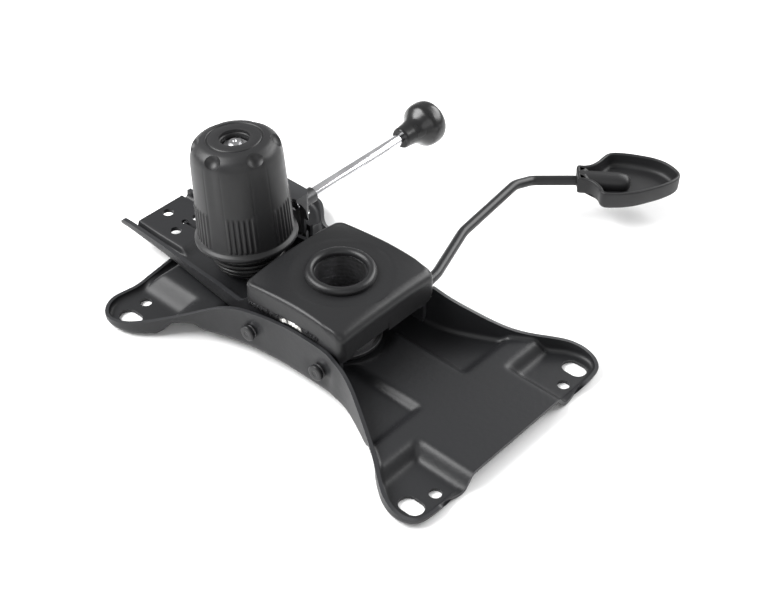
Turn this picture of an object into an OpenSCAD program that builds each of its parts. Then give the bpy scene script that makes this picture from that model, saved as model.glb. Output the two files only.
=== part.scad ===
// Chair push back mechanism, lying on its seat plate.
// Millimetres, +Z up. The origin is the middle of the four seat slots,
// on the face that bolts to the seat. -X is the tension knob end and
// +Y the side of the two levers.

/* [Seat plate] */
// Slot spacing along the mechanism
bolt_pitch_x = 204; // [196:1:212]
// Slot spacing across the mechanism
bolt_pitch_y = 132; // [126:1:136]
// Width of each seat slot
slot_w = 10.3; // [8:0.1:11]
// Length of each seat slot, end to end
slot_len = 14.2; // [12.5:0.1:15]
// Width of the small hole beside each slot
small_hole_d = 6.8; // [5:0.1:8]
// Sheet thickness of the seat plate
plate_t = 2; // [1.6:0.1:2.4]
// Height of the sunk pockets above the seat face
pocket_z = 6; // [5:0.1:6.5]
// Height of the raised middle field above the seat face
field_z = 9.5; // [9:0.1:9.7]
// Height of the flange at the waist
flange_h = 33; // [31:0.5:34]

/* [Tilt bearings] */
// Distance of the pivot behind the seat centre
pivot_x = 15; // [14:0.5:16]
// Height of the pivot and stop rivets
pivot_z = 17.5; // [17:0.1:18]
// Distance of the stop rivets in front of the seat centre
stop_x = 32.5; // [30:0.5:34]
// Shank width of the rivets
rivet_d = 6; // [5:0.5:6]
// Head width of the rivets
rivet_head_d = 9; // [8:0.5:10]

/* [Arm channel] */
// Length of the arm in front of the seat centre
arm_front = 149.5; // [145:0.5:152]
// Sheet thickness of the arm
arm_t = 2.5; // [2:0.1:2.5]
// Height of the arm floor, underside
arm_floor_z = 10.5; // [10.3:0.1:10.8]
// Half width of the arm where the cover sits
arm_half = 34; // [33.8:0.1:34]
// Height of the raised front platform
platform_z = 16; // [15:0.1:17]
// Width of the three platform holes
platform_hole_d = 6.5; // [5:0.1:7]

/* [Column housing] */
// Distance of the column in front of the seat centre
column_x = 6; // [5:0.5:7]
// Length of the cover
cover_l = 69.5; // [68:0.5:70]
// Sheet thickness of the cover
cover_t = 2.5; // [2:0.1:2.5]
// Height of the cover's arched top
cover_z = 47.6; // [47.2:0.1:48.5]
// Drop of the front corners below the top
cover_drop = 4.9; // [3:0.1:6]
// Bore for the gas column
bore_d = 28; // [26:0.5:29]
// Outer width of the column socket
socket_d = 40; // [38:0.5:40]
// Thickness of the rolled lip
lip_w = 5.2; // [4:0.1:6]

/* [Tension knob] */
// Distance of the knob in front of the seat centre
knob_x = 76.9; // [76:0.1:78]
// Height of the knob rim
knob_z = 36.4; // [36.2:0.1:37.5]
// Lean of the knob away from the column, degrees
knob_lean = 5.1; // [4.5:0.1:5.5]
// Rim width of the knob
rim_d = 57.2; // [56:0.1:57.4]
// Knob height above the rim
knob_h = 60.8; // [58:0.1:64]
// Width of the tension bolt
tension_bolt_d = 8; // [7:0.5:8]
// Spring wire width
wire_d = 3.8; // [3:0.1:4]
// Spring curls
curls = 7; // [6:1:8]

/* [Lock lever] */
// Distance of the lock rod in front of the seat centre
lock_x = 70; // [69:0.5:71]
// Height of the lock rod
lock_z = 41.4; // [40:0.1:42]
// Width of the lock rod
lock_rod_d = 7; // [6:0.5:7]
// Reach of the lock rod to its knob
lock_reach = 120; // [110:1:130]
// Width of the lock rod knob
lock_knob_d = 27; // [24:0.5:30]

/* [Gas lever] */
// Width of the gas lever rod
gas_rod_d = 6; // [5:0.5:6]
// Depth of the paddle tray
paddle_h = 11; // [9:0.5:12]

/* [Hidden] */
// Running clearance between a shaft and its hole, on the radius.
run_gap = 0.05;
// Free space kept between pieces of different bodies.
free_gap = 0.4;
$fn = 48;

// Half widths of the cover and of the plate's waist, outside the arm.
cover_half = arm_half + 2.8;
waist_half = arm_half + 5.2;
// How far everything beside the arm moves out with it.
arm_add = arm_half - 34;

// Seat plate.
ear_top = plate_t;
slot_pos = [bolt_pitch_x / 2, bolt_pitch_y / 2];
small_hole_dx = 3.3;
small_hole_dy = 14;
rear_edge = 114.4;
field_half = 17.5;
dish_d = 60;
dish_z = 4.5;
bar_in = 66;
bar_out = 79;
// Half outline, from the middle of the front edge to the rear edge.
half_outline = [
    [-122.5, 0], [-121.8, 12], [-120.6, 24], [-119, 36], [-117.6, 48],
    [-118.6, 56], [-119.2, 63], [-116.6, 70.5], [-110, 76.6], [-101.5, 78],
    [-92.5, 75.4], [-84, 68.8], [-75, 60], [-65, 52.4], [-55, 47.6],
    [-45, 44.3], [-35, 42], [-24, 40.4], [-12, 39.4], [0, 39.2],
    [9, 39.2], [20, 39.3], [26, 40.3], [33, 41.6], [40.5, 44.2], [48.5, 48],
    [57, 52.4], [67, 58.2], [76, 64.4], [84, 70.6], [92, 75.8],
    [100, 78.2], [107, 77.4], [112.4, 73.2], [rear_edge, 66.6],
    [rear_edge, 30], [rear_edge, 0]];
outline_top = [
    for (q = half_outline)
        [q[0], q[1] > 0 ? q[1] + arm_add : 0]];
full_outline = concat(
    outline_top,
    [for (i = [len(outline_top) - 2 : -1 : 1]) [outline_top[i][0], -outline_top[i][1]]]);
flange_top = [
    [-130, 5.4], [-116, 5], [-101, 7], [-88, 10], [-79, 11.6],
    [-70, 14.5], [-63, 18.5], [-54, 24], [-46, 28], [-36, 29.5],
    [-19, 31.5], [-3, flange_h], [16, flange_h], [25, 31.4], [33, 28.4],
    [40.5, 25.6], [48.5, 21.6], [57, 17.6], [67, 13.6], [77, 11.8],
    [84, 10.8], [93, 9.4], [104, 6.4], [111, 4.4], [130, 4.4]];
// The far flange is cut away where the gas lever leaves.
lever_notch = [14.2, 22.8, 22.6];

// Rivets, bushes and washers.
washer_t = 1;
head_t = 2.4;
rivet_in = arm_half - 4.5;
bush_wall = 1.5;
bush_flange_d = 14;
// The flange is nearly flat at the pivot and leans out at the stop.
pivot_face = waist_half + 0.1;
stop_face = 41.5 + arm_add;

// Rest bumper.
bumper_x = -94;
bumper_d = 16;
bumper_stud_d = 6;

// Arm.
arm_in = arm_half - arm_t;
arm_rear = 25;
floor_rear = 1;
// Outer half width of the arm wall along its length.
arm_side = [
    for (q = [[-150, 23.4], [-133, 24.5], [-122, 25.2], [-107, 26.6], [-97, 27.7],
        [-81, 29.6], [-72, 30.5], [-60, 32], [-47, 33.4], [-41, 34], [arm_rear, 34]])
        [q[0], q[1] + arm_add]];
wall_top = [
    [-158, 14], [-153, 16.2], [-146, 17], [-133, 17.6], [-117, 18.5],
    [-97, 19.6], [-84, 20.8], [-72, 22], [-50, 23], [-45, 27],
    [-41.6, 31.2], [-38, 31.2], [-37.8, 36.2], [20, 36.2], [arm_rear, 33]];
// How far forward the near and the far wall reach.
near_wall_front = 158;
far_wall_front = 149;
platform_half = 17.4;
platform_ramp = [-113.5, -106];
stop_notch_w = rivet_d + 2 * free_gap;

// Cover.
cover_front = -(column_x + 0.25) - cover_l / 2;
cover_rear = cover_front + cover_l;
cover_r = 2.4;
cover_soft = 6;
cover_corner = 4;
boss_d = 51.2;
// Lower edge of the side skirts and of the rear one.
skirt_z = 31.4;
rear_z = 27.6;
boss_z = cover_z - 0.7;
lip_r = (bore_d + lip_w) / 2;
lip_mid_z = boss_z + 1.3;
neck_d = bore_d + 6.8;
socket_shoulder = boss_z - cover_t - 1.6;
socket_foot = 5.2;
foot_d = 45.2;
foot_t = 2.4;
// The column stops on a step in the bore.
step_z = 19;
step_w = 1.5;
window_z = [8.2, 18.4];
window_w = 15;

// Tension knob, all along its own leaning line. Zero is the rim.
bolt_r = tension_bolt_d / 2;
anchor_z = 3.4;
anchor_s = (anchor_z - knob_z) / cos(knob_lean);
bolt_top = knob_h - 2.4;
loose_r = bolt_r + 2;
cup_foot = -19.5;
cup_top = -3.6;
cup_r = 22.4;
seat_s = cup_foot + 2.6;
washer_s = 40;
thrust_t = 3;
nut_s = 48;
nut_t = 8;
nut_af = 13;
// The middle of one group of ribs.
knob_turn = -46;
spring_r = 12.6;
skin_r = 24.6;
spacer_d = 22;
anchor_head_d = 5.8;
anchor_half = 9;

// Lock lever.
lock_t = 2;
lock_plate = [arm_half + 2, arm_half + 2 + lock_t];
lock_box = [-86, -64];
lock_top = 50.5;
lock_corner = 4;
sleeve_d = lock_rod_d + 2;
tongue = [arm_half - 2.6, arm_half - 1.1];
tongue_x = [-78, -67.4];
tooth_x = [-76, -69];
tooth_z = [14.6, 18.6];
tooth_tip = arm_half + 4.3;
keeper_y = [arm_half + 5.3, arm_half + 7.3];
keeper_x = [-78.6, -66.4];
keeper_top = 24;
sleeve_end = arm_half + 11;

// Gas lever.
gas_r = gas_rod_d / 2;
lever_hinge = [18.9, arm_half - 4, 27.7];
lever_pin_d = 3;
cheek_x = [11.9, 25.9];
cheek_t = 1.8;
gas_path = [
    for (q = [[-7, -2, 11.8], [-0.5, 10.6, 11.9], [6.4, 16.6, 13.4],
        [16.6, 25.6, 25.6], [18.9, 31, 27.8], [16.3, 52.4, 27.3],
        [4, 89.8, 28.2], [-4.9, 148.3, 25], [-3.3, 162.9, 21.3],
        [15.1, 180.2, 21.3], [29.8, 191.2, 21.3]])
        [q[0], q[1] + (q[1] > 20 ? arm_add : 0), q[2]]];
gas_bend = 3.4;
// Middle of the paddle neck, height of its foot and its heading.
neck = [17.4, 181.7 + arm_add, 17];
neck_turn = 36.9;
// Paddle outline from the neck: along the paddle, then across it.
leaf = [
    [-1, -7], [3.5, -7.3], [7.4, -9.3], [10.8, -14], [12.4, -18.6],
    [14.6, -20.4], [22, -20.3], [32, -17.8], [40, -14], [50, -8],
    [56, -3], [59.2, 1.6], [59.2, 6.3], [53.4, 14.6], [46.3, 19],
    [36.3, 21.6], [27.5, 22.8], [20.5, 22.6], [17, 21], [14.3, 17.8],
    [10.8, 12.6], [6.7, 8.8], [3, 7.4], [-1, 7]];
leaf_turned = [for (i = [len(leaf) - 1 : -1 : 0]) leaf[i]];
leaf_wall = 2.2;
leaf_floor = 2.6;
hub_r = 6.2;
hub_l = 24;

steel_black = [0.09, 0.09, 0.1];
plastic_black = [0.07, 0.07, 0.075];
steel_grey = [0.45, 0.46, 0.48];
chrome_like = [0.8, 0.81, 0.83];
rubber_black = [0.05, 0.05, 0.05];

function unit(v) = v / norm(v);
function mirrored(p) = [for (i = [len(p) - 1 : -1 : 0]) [p[i][0], -p[i][1]]];
// A closed outline moved inwards by d. The outline runs clockwise.
function moved_in(p, d) = [
    for (i = [0 : len(p) - 1])
        let (a = p[(i + len(p) - 1) % len(p)], b = p[i], c = p[(i + 1) % len(p)])
        let (u = unit(b - a), v = unit(c - b))
        let (n = unit([u[1] + v[1], -u[0] - v[0]]))
        b + n * d / max(0.5, n * [u[1], -u[0]])];
// A bend of the path a, b, c, with its corner cut r away from b.
function bend(a, b, c, r, n) = [
    for (i = [0 : n])
        let (t = i / n, p = b + unit(a - b) * r, q = b + unit(c - b) * r)
        (1 - t) * (1 - t) * p + 2 * t * (1 - t) * b + t * t * q];
function bent(p, r, n) = [
    p[0],
    for (i = [1 : len(p) - 2]) each bend(p[i - 1], p[i], p[i + 1], r, n),
    p[len(p) - 1]];

// A round bar of radius r along a path.
module bar_along(path, r, sides) {
    last = len(path) - 1;
    pts = [
        for (i = [0 : last])
            let (t = unit(path[min(i + 1, last)] - path[max(i - 1, 0)]))
            let (u = unit(cross(t, [0, 0, 1])), v = cross(u, t))
            for (k = [0 : sides - 1])
                path[i] + r * (u * cos(360 * k / sides) + v * sin(360 * k / sides))];
    skin = [
        for (i = [0 : last - 1])
            for (k = [0 : sides - 1])
                let (a = i * sides + k, b = i * sides + (k + 1) % sides)
                each [[a, b, b + sides], [a, b + sides, a + sides]]];
    foot = [for (k = [sides - 1 : -1 : 0]) k];
    top = [for (k = [0 : sides - 1]) last * sides + k];
    polyhedron(points = pts, faces = concat(skin, [foot, top]), convexity = 6);
}

// A flat profile in X and Z, drawn out along Y from y0 to y1.
module along_y(profile, y0, y1) {
    translate([0, y1, 0])
        rotate([90, 0, 0])
            linear_extrude(y1 - y0)
                polygon(profile);
}

// A flat profile in Y and Z, drawn out along X from x0 to x1.
module along_x(profile, x0, x1) {
    translate([x0, 0, 0])
        rotate([90, 0, 90])
            linear_extrude(x1 - x0)
                polygon(profile);
}

// A round bar across the mechanism at x, z from y0 to y1.
module cross_pin(x, z, d, y0, y1) {
    translate([x, y1, z])
        rotate([90, 0, 0])
            cylinder(d = d, h = y1 - y0);
}

module both_sides() {
    children();
    mirror([0, 1, 0])
        children();
}

// Everything on the leaning line of the tension bolt. Zero is the rim.
module on_bolt_line() {
    translate([-knob_x, 0, knob_z])
        rotate([0, -knob_lean, 0])
            children();
}

// A hill with a flat top and ramps: x and y half sizes at the top,
// the run of the ramps, the top height and the height of its foot.
module hill(x0, x1, y_half, run_x, run_y, top, low) {
    intersection() {
        along_y([[x0 - run_x, low], [x0, top], [x1, top], [x1 + run_x, low],
            [x1 + run_x, low - 9], [x0 - run_x, low - 9]], -99, 99);
        along_x([[-y_half - run_y, low], [-y_half, top], [y_half, top],
            [y_half + run_y, low], [y_half + run_y, low - 9], [-y_half - run_y, low - 9]],
            x0 - run_x - 1, x1 + run_x + 1);
    }
}

// The pressed shape of the plate, filled solid below its upper face.
module pressed_form() {
    difference() {
        union() {
            translate([-140, -99, -20])
                cube([280, 198, 20 + ear_top]);
            // pockets
            hill(-bar_in - 5, bar_in + 5, 96, 3, 1, pocket_z, ear_top);
            // middle strip, its front end ramped down to the front edge
            hill(-110, rear_edge + 20, field_half, 5.6, 3, field_z, ear_top);
            // crossbars
            hill(bar_in, bar_out, 96, 4.5, 1, field_z, ear_top);
            hill(-bar_out, -bar_in, 96, 4.5, 1, field_z, ear_top);
            // ends
            hill(bar_in, rear_edge + 20, 36, 4.5, 5, field_z, ear_top);
            hill(-110, -bar_in, 36, 5.6, 9, field_z, ear_top);
        }
        // shallow dish under the column
        translate([-column_x, 0, dish_z])
            cylinder(d1 = dish_d - 12, d2 = dish_d + 12, h = 2 * (field_z - dish_z));
    }
}

module seat_plate() {
    color(steel_black)
        difference() {
            union() {
                intersection() {
                    pressed_form();
                    translate([0, 0, -1])
                        linear_extrude(60)
                            polygon(full_outline);
                }
                // flange
                intersection() {
                    linear_extrude(60)
                        difference() {
                            polygon(full_outline);
                            polygon(moved_in(full_outline, plate_t));
                        }
                    along_y(concat([[130, -1], [-130, -1]], flange_top), -99, 99);
                }
            }
            // the underside follows the upper face
            translate([0, 0, -plate_t])
                pressed_form();
            for (x = [-1, 1], y = [-1, 1]) {
                // seat slots
                for (e = [-1, 1])
                    translate([x * slot_pos[0] + e * (slot_len - slot_w) / 2, y * slot_pos[1], -1])
                        cylinder(d = slot_w, h = 9);
                translate([x * slot_pos[0], y * slot_pos[1], 2])
                    cube([slot_len - slot_w, slot_w, 9], center = true);
                translate([x * (slot_pos[0] + small_hole_dx), y * (slot_pos[1] - small_hole_dy), -1])
                    cylinder(d = small_hole_d, h = 9);
            }
            // rivet holes
            for (x = [-stop_x, pivot_x])
                cross_pin(x, pivot_z, rivet_d, -60, 60);
            // hole for the tension bolt
            translate([-knob_x + (knob_z - field_z) * tan(knob_lean), 0, 0])
                cylinder(r = loose_r, h = 20);
            // stud hole of the rest bumper
            translate([bumper_x, 0, 0])
                cylinder(d = bumper_stud_d, h = 20);
            // way out for the gas lever
            translate([lever_notch[0], arm_half, lever_notch[2]])
                cube([lever_notch[1] - lever_notch[0], 20, 20]);
        }
}

// One rivet pair: shanks from the inside, flange at face.
module rivet_pair(x, face) {
    both_sides()
        difference() {
            union() {
                cross_pin(x, pivot_z, rivet_d, rivet_in, face + washer_t + 0.2);
                cross_pin(x, pivot_z, rivet_head_d, face + washer_t, face + washer_t + head_t - 0.6);
                translate([x, face + washer_t + head_t - 0.6, pivot_z])
                    rotate([-90, 0, 0])
                        cylinder(d1 = rivet_head_d, d2 = rivet_head_d - 2, h = 0.6);
            }
            // dimple in the head
            translate([x, face + washer_t + head_t - 0.5, pivot_z])
                rotate([-90, 0, 0])
                    cylinder(d1 = 1.2, d2 = 2.6, h = 1);
        }
}

module pivot_rivets() {
    color(steel_black)
        rivet_pair(pivot_x, pivot_face);
}

module stop_rivets() {
    color(steel_black)
        rivet_pair(-stop_x, stop_face);
}

module rivet_washers() {
    color(steel_grey)
        both_sides()
            for (w = [[pivot_x, pivot_face], [-stop_x, stop_face]])
                difference() {
                    cross_pin(w[0], pivot_z, rivet_head_d - 1, w[1], w[1] + washer_t);
                    cross_pin(w[0], pivot_z, rivet_d, w[1] - 1, w[1] + washer_t + 1);
                    linear_extrude(60)
                        polygon(full_outline);
                }
}

module pivot_bushes() {
    color(plastic_black)
        both_sides()
            difference() {
                union() {
                    cross_pin(pivot_x, pivot_z, rivet_d + 2 * bush_wall, arm_in - 1, arm_half);
                    cross_pin(pivot_x, pivot_z, bush_flange_d, arm_half,
                        waist_half - plate_t - free_gap);
                }
                cross_pin(pivot_x, pivot_z, rivet_d + 2 * run_gap, arm_in - 2, waist_half);
            }
}

module rest_bumper() {
    color(rubber_black) {
        translate([bumper_x, 0, field_z])
            cylinder(d = bumper_d, h = arm_floor_z - field_z - 0.05);
        translate([bumper_x, 0, field_z - plate_t])
            cylinder(d = bumper_stud_d, h = plate_t);
        translate([bumper_x, 0, field_z - plate_t - 2])
            cylinder(d = bumper_stud_d + 4, h = 2);
    }
}

// Plan of the arm, from the front x to its rear, drawn in by d.
function arm_plan(d) = concat(
    [for (q = arm_side) [q[0] - (q[0] < -149 ? 10 : 0), q[1] - d]],
    mirrored([for (q = arm_side) [q[0] - (q[0] < -149 ? 10 : 0), q[1] - d]]));

// The floor with its raised platform, filled solid below.
module floor_form() {
    top = arm_floor_z + arm_t;
    translate([-170, -60, -20])
        cube([170 + floor_rear, 120, 20 + top]);
    intersection() {
        along_y([[-170, 0], [-170, platform_z], [platform_ramp[0], platform_z],
            [platform_ramp[1], top], [platform_ramp[1], 0]], -60, 60);
        along_x([[-platform_half - 1.4, 0], [-platform_half - 1.4, top],
            [-platform_half, platform_z], [platform_half, platform_z],
            [platform_half + 1.4, top], [platform_half + 1.4, 0]], -180, 0);
    }
}

module arm_channel() {
    color(steel_black)
        difference() {
            union() {
                // floor
                difference() {
                    intersection() {
                        floor_form();
                        linear_extrude(60)
                            polygon(arm_plan(0));
                        translate([-arm_front, -60, 0])
                            cube([arm_front + floor_rear, 120, 60]);
                    }
                    translate([0, 0, -arm_t])
                        floor_form();
                }
                // walls
                intersection() {
                    linear_extrude(60)
                        difference() {
                            polygon(arm_plan(0));
                            polygon(arm_plan(arm_t));
                        }
                    along_y(concat(
                        [[arm_rear, 16.5], [20, arm_floor_z], [-153, arm_floor_z],
                            [-156.6, 11.4]],
                        wall_top), -60, 60);
                    union() {
                        translate([-near_wall_front, -60, 0])
                            cube([250, 60, 60]);
                        translate([-far_wall_front, 0, 0])
                            cube([250, 60, 60]);
                    }
                }
            }
            // platform holes and the lanced slot behind them
            translate([-143, 0, 0])
                cylinder(d = platform_hole_d, h = 40);
            for (s = [-1, 1])
                translate([-127, s * 8.5, 0])
                    cylinder(d = platform_hole_d, h = 40);
            translate([-129.5, 0.6, 0])
                cylinder(d = 4, h = 40);
            translate([-129.5, -0.3, 0])
                cube([14, 1.6, 40]);
            translate([-116, 0, 0])
                cylinder(d = 7, h = 40);
            // tension bolt and column
            translate([-knob_x + (knob_z - arm_floor_z - 1) * tan(knob_lean), 0, 0])
                cylinder(r = loose_r, h = 20);
            translate([-column_x, 0, 0])
                cylinder(d = socket_d + 2 * run_gap, h = 30);
            // pivot bushes
            cross_pin(pivot_x, pivot_z, rivet_d + 2 * bush_wall, -60, 60);
            // stop notches, open downwards: the arm lifts off the rivets
            both_sides()
                hull() {
                    cross_pin(-stop_x, pivot_z, stop_notch_w, 20, 60);
                    cross_pin(-stop_x, pivot_z - 20, stop_notch_w + 8, 20, 60);
                }
            // way through for the gas lever
            cross_pin(lever_hinge[0] - 0.4, lever_hinge[2], gas_rod_d + 4, 20, 60);
        }
}

// Height of the arched top. It drops towards the front and the rear end,
// more so at the corners, and is level round the boss.
function arch(x, y) =
    let (front = max(0, -1.5 - x) / 39.5, rear = max(0, x - 1) / 27.5)
    let (drop = cover_drop * pow(front, 1.5) + 0.65 * cover_drop * pow(rear, 1.8))
    cover_z - drop * (0.26 + 0.74 * pow(abs(y) / cover_half, 2.6));
function cover_top(x, y) =
    let (far = norm([x + column_x, y]) - boss_d / 2)
    let (k = min(1, max(0, far / 5)))
    boss_z * (1 - k) + arch(x, y) * k;
// The cover's plan, drawn in by d, with points along its sides.
function cover_ring(d) =
    let (a = cover_l / 2 - d, b = cover_half - d, r = max(0.4, cover_corner - d))
    let (mid = (cover_front + cover_rear) / 2)
    [for (k = [0 : 3])
        let (t = 90 * k, u = [cos(t + 45) > 0 ? 1 : -1, sin(t + 45) > 0 ? 1 : -1])
        let (next = [cos(t + 135) > 0 ? 1 : -1, sin(t + 135) > 0 ? 1 : -1])
        let (c = [u[0] * (a - r), u[1] * (b - r)], e = [next[0] * (a - r), next[1] * (b - r)])
        each concat(
            [for (i = [0 : 4]) [mid, 0] + c + r * [cos(t + 22.5 * i), sin(t + 22.5 * i)]],
            [for (i = [1 : 9]) [mid, 0] + c + (e - c) * i / 10 + r * [cos(t + 90), sin(t + 90)]])];
// Rounding of the top edge at x. It is softer along the rear.
function edge_r(x) =
    cover_r + (cover_soft - cover_r) * min(1, max(0, (x - cover_rear + 13) / 8));
// A pillow with an arched top, drawn in by d.
module cover_form(d) {
    outer = cover_ring(d);
    mid = [(cover_front + cover_rear) / 2, 0];
    a = cover_l / 2 - d;
    b = cover_half - d;
    inner = [
        for (q = outer)
            let (p = q - mid, r = p[0] > 0 ? cover_soft : cover_r)
            mid + [p[0] * (a - r) / a, p[1] * (b - cover_r) / b]];
    count = len(outer);
    axis = [-column_x, 0];
    side = [for (q = outer) [q[0], q[1], 0]];
    // the rounded edge, in steps
    edge = [
        for (t = [0 : 15 : 90], i = [0 : count - 1])
            let (p = outer[i] + (inner[i] - outer[i]) * (1 - cos(t)))
            [p[0], p[1], cover_top(inner[i][0], inner[i][1]) - d
                - edge_r(outer[i][0]) * (1 - sin(t))]];
    // rings that shrink to the boss circle
    top = [
        for (f = [0.2, 0.4, 0.6, 0.8, 0.9, 1])
            for (i = [0 : count - 1])
                let (p = inner[i], c = axis + unit(p - axis) * boss_d / 2, q = p + (c - p) * f)
                [q[0], q[1], cover_top(q[0], q[1]) - d]];
    pts = concat(side, edge, top);
    rings = len(pts) / count;
    skin = [
        for (j = [0 : rings - 2], i = [0 : count - 1])
            let (a = j * count + i, b = j * count + (i + 1) % count)
            each [[a, b + count, b], [a, a + count, b + count]]];
    polyhedron(points = pts, convexity = 6, faces = concat(
        skin,
        [[for (i = [0 : count - 1]) i]],
        [[for (i = [count - 1 : -1 : 0]) (rings - 1) * count + i]]));
}

module column_housing() {
    color(steel_black)
        difference() {
            cover_form(0);
            cover_form(cover_t);
            translate([-column_x, 0, 0])
                cylinder(d = neck_d, h = 90);
            // lower edge of the skirts
            translate([-60, -50, -1])
                cube([60 + cover_rear - cover_corner, 100, skirt_z + 1]);
            translate([0, -50, -1])
                cube([60, 100, rear_z + 1]);
            translate([0, cover_half - cover_corner, -1])
                cube([60, 20, skirt_z + 1]);
            // shallow cutout and slit in the rear skirt
            translate([10, -28, 0])
                cube([60, 28, rear_z + 2.2]);
            translate([10, -0.6, 0])
                cube([60, 0.6, rear_z + 6]);
        }
}

module socket_tube() {
    color(steel_grey)
        difference() {
            union() {
                translate([-column_x, 0, socket_foot])
                    cylinder(d = socket_d, h = socket_shoulder - socket_foot);
                translate([-column_x, 0, socket_foot])
                    cylinder(d = neck_d, h = boss_z - socket_foot);
                translate([-column_x, 0, socket_foot])
                    cylinder(d = foot_d, h = foot_t);
            }
            translate([-column_x, 0, step_z])
                cylinder(d = bore_d, h = 90);
            translate([-column_x, 0, 0])
                cylinder(d = bore_d - 2 * step_w, h = 90);
            // side window for the gas lever
            translate([-column_x, 0, window_z[0]])
                rotate([0, 0, 53])
                    translate([0, -window_w / 2, 0])
                        cube([40, window_w, window_z[1] - window_z[0]]);
        }
}

module socket_lip() {
    color(steel_black)
        translate([-column_x, 0, 0])
            rotate_extrude()
                intersection() {
                    translate([lip_r, lip_mid_z])
                        circle(d = lip_w);
                    translate([0, boss_z])
                        square([40, 10]);
                }
}

// Weld runs on the skirts, above the flange of the plate.
module weld_beads() {
    color(steel_grey)
        both_sides()
            difference() {
                for (run = [[-35, 6], [-17, 5], [0.5, 4]], i = [0 : run[1] - 1])
                    let (x = run[0] + 2.4 * i)
                        translate([x, cover_half - 0.5, lookup(x, flange_top) + 2.4])
                            sphere(r = 1.7 + 0.15 * (i % 2), $fn = 24);
                translate([-60, 0, 0])
                    cube([120, cover_half, 60]);
            }
}

module bolt_anchor() {
    color(steel_grey)
        translate([-knob_x + (knob_z - anchor_z) * tan(knob_lean), 0, 0])
            difference() {
                translate([-10, -anchor_half - 2, anchor_z])
                    cube([20, 2 * anchor_half + 4, field_z - plate_t - anchor_z]);
                cross_pin(0, anchor_z, anchor_head_d + 2 * run_gap, -anchor_half - 3, anchor_half + 3);
                translate([-bolt_r - 1.2, -bolt_r - 0.5, 0])
                    cube([2 * bolt_r + 2.4, 2 * bolt_r + 1, 20]);
            }
}

module tension_bolt() {
    color(steel_grey)
        on_bolt_line() {
            translate([0, 0, anchor_s])
                cylinder(r = bolt_r, h = bolt_top - anchor_s);
            translate([0, 0, anchor_s])
                rotate([90, 0, 0])
                    cylinder(d = anchor_head_d, h = 2 * anchor_half, center = true);
        }
}

module seat_spacer() {
    color(steel_grey)
        intersection() {
            on_bolt_line()
                difference() {
                    translate([0, 0, cup_foot - 12])
                        cylinder(d = spacer_d, h = 12);
                    translate([0, 0, cup_foot - 13])
                        cylinder(r = loose_r, h = 14);
                }
            translate([-120, -30, arm_floor_z + arm_t])
                cube([90, 60, 40]);
        }
}

module spring_cup() {
    color(plastic_black)
        on_bolt_line()
            difference() {
                rotate_extrude($fn = 64)
                    polygon([[0, cup_foot], [16.6, cup_foot], [17.4, -18.9],
                        [18.6, -16.6], [17.9, -16], [19.9, -14.6], [20.2, -13.4],
                        [19.4, -12.6], [21.1, -11], [21.4, -9.8], [20.7, -9],
                        [21.9, -7.4], [22.1, -6.2], [21.6, -5.4], [cup_r, -4.6],
                        [cup_r, cup_top], [21.2, cup_top], [20, -8], [15.4, seat_s],
                        [0, seat_s]]);
                translate([0, 0, cup_foot - 1])
                    cylinder(r = loose_r, h = 10);
            }
}

module tension_spring() {
    per = 8;
    low = seat_s + wire_d / 2;
    high = washer_s - wire_d / 2;
    rise = (high - low) / curls;
    echo(least_spring_gap = rise - wire_d);
    color(steel_grey)
        on_bolt_line()
            bar_along(
                [for (i = [0 : curls * per])
                    [spring_r * cos(360 * i / per), spring_r * sin(360 * i / per),
                        low + (high - low) * i / (curls * per)]],
                wire_d / 2, 6);
}

module thrust_washer() {
    color(steel_grey)
        on_bolt_line()
            translate([0, 0, washer_s])
                difference() {
                    cylinder(d = 36, h = thrust_t);
                    translate([0, 0, -1])
                        cylinder(r = bolt_r + run_gap, h = thrust_t + 2);
                }
}

module knob_shell() {
    color(plastic_black)
        on_bolt_line()
            difference() {
                union() {
                    rotate_extrude($fn = 96)
                        polygon([[0, -1.6], [27.6, -1.6], [rim_d / 2, -0.6],
                            [rim_d / 2, 1], [27.4, 2.2], [26.5, 3.2],
                            [25.2, knob_h - 11.2], [24.7, knob_h - 7.6],
                            [23.4, knob_h - 4.6], [21, knob_h - 2], [17.7, knob_h - 0.6],
                            [15.9, knob_h], [15.6, knob_h - 0.7], [14.8, knob_h - 0.7],
                            [14.4, knob_h], [0, knob_h]]);
                    // six grips of six ribs
                    for (g = [0 : 5], k = [-2.5 : 1 : 2.5])
                        rotate([0, 0, knob_turn + 60 * g + 6.2 * k])
                            translate([25.2, -0.8, 3.4])
                                rotate([0, -2, 0])
                                    cube([1.6, 1.6, 21.5]);
                }
                // hollow for the cup and spring, room for the nut
                rotate_extrude($fn = 96)
                    polygon([[0, -2], [skin_r, -2], [skin_r, 14], [22.6, 40],
                        [22.6, washer_s + thrust_t], [0, washer_s + thrust_t]]);
                translate([0, 0, washer_s])
                    cylinder(r = bolt_r + 1.2, h = 40);
                translate([0, 0, nut_s])
                    cylinder(d = nut_af / cos(30), h = 60, $fn = 6);
                translate([0, 0, knob_h - 5])
                    cylinder(r = 8.2, h = 10);
                // six scallops round the shoulder
                for (g = [0 : 5])
                    rotate([0, 0, knob_turn + 30 + 60 * g])
                        translate([24.8, 0, knob_h - 0.8])
                            sphere(r = 6, $fn = 32);
            }
}

module knob_nut() {
    color(steel_grey)
        on_bolt_line()
            translate([0, 0, nut_s])
                difference() {
                    cylinder(d = nut_af / cos(30), h = nut_t, $fn = 6);
                    translate([0, 0, -1])
                        cylinder(r = bolt_r + run_gap, h = nut_t + 2);
                }
}

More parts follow.
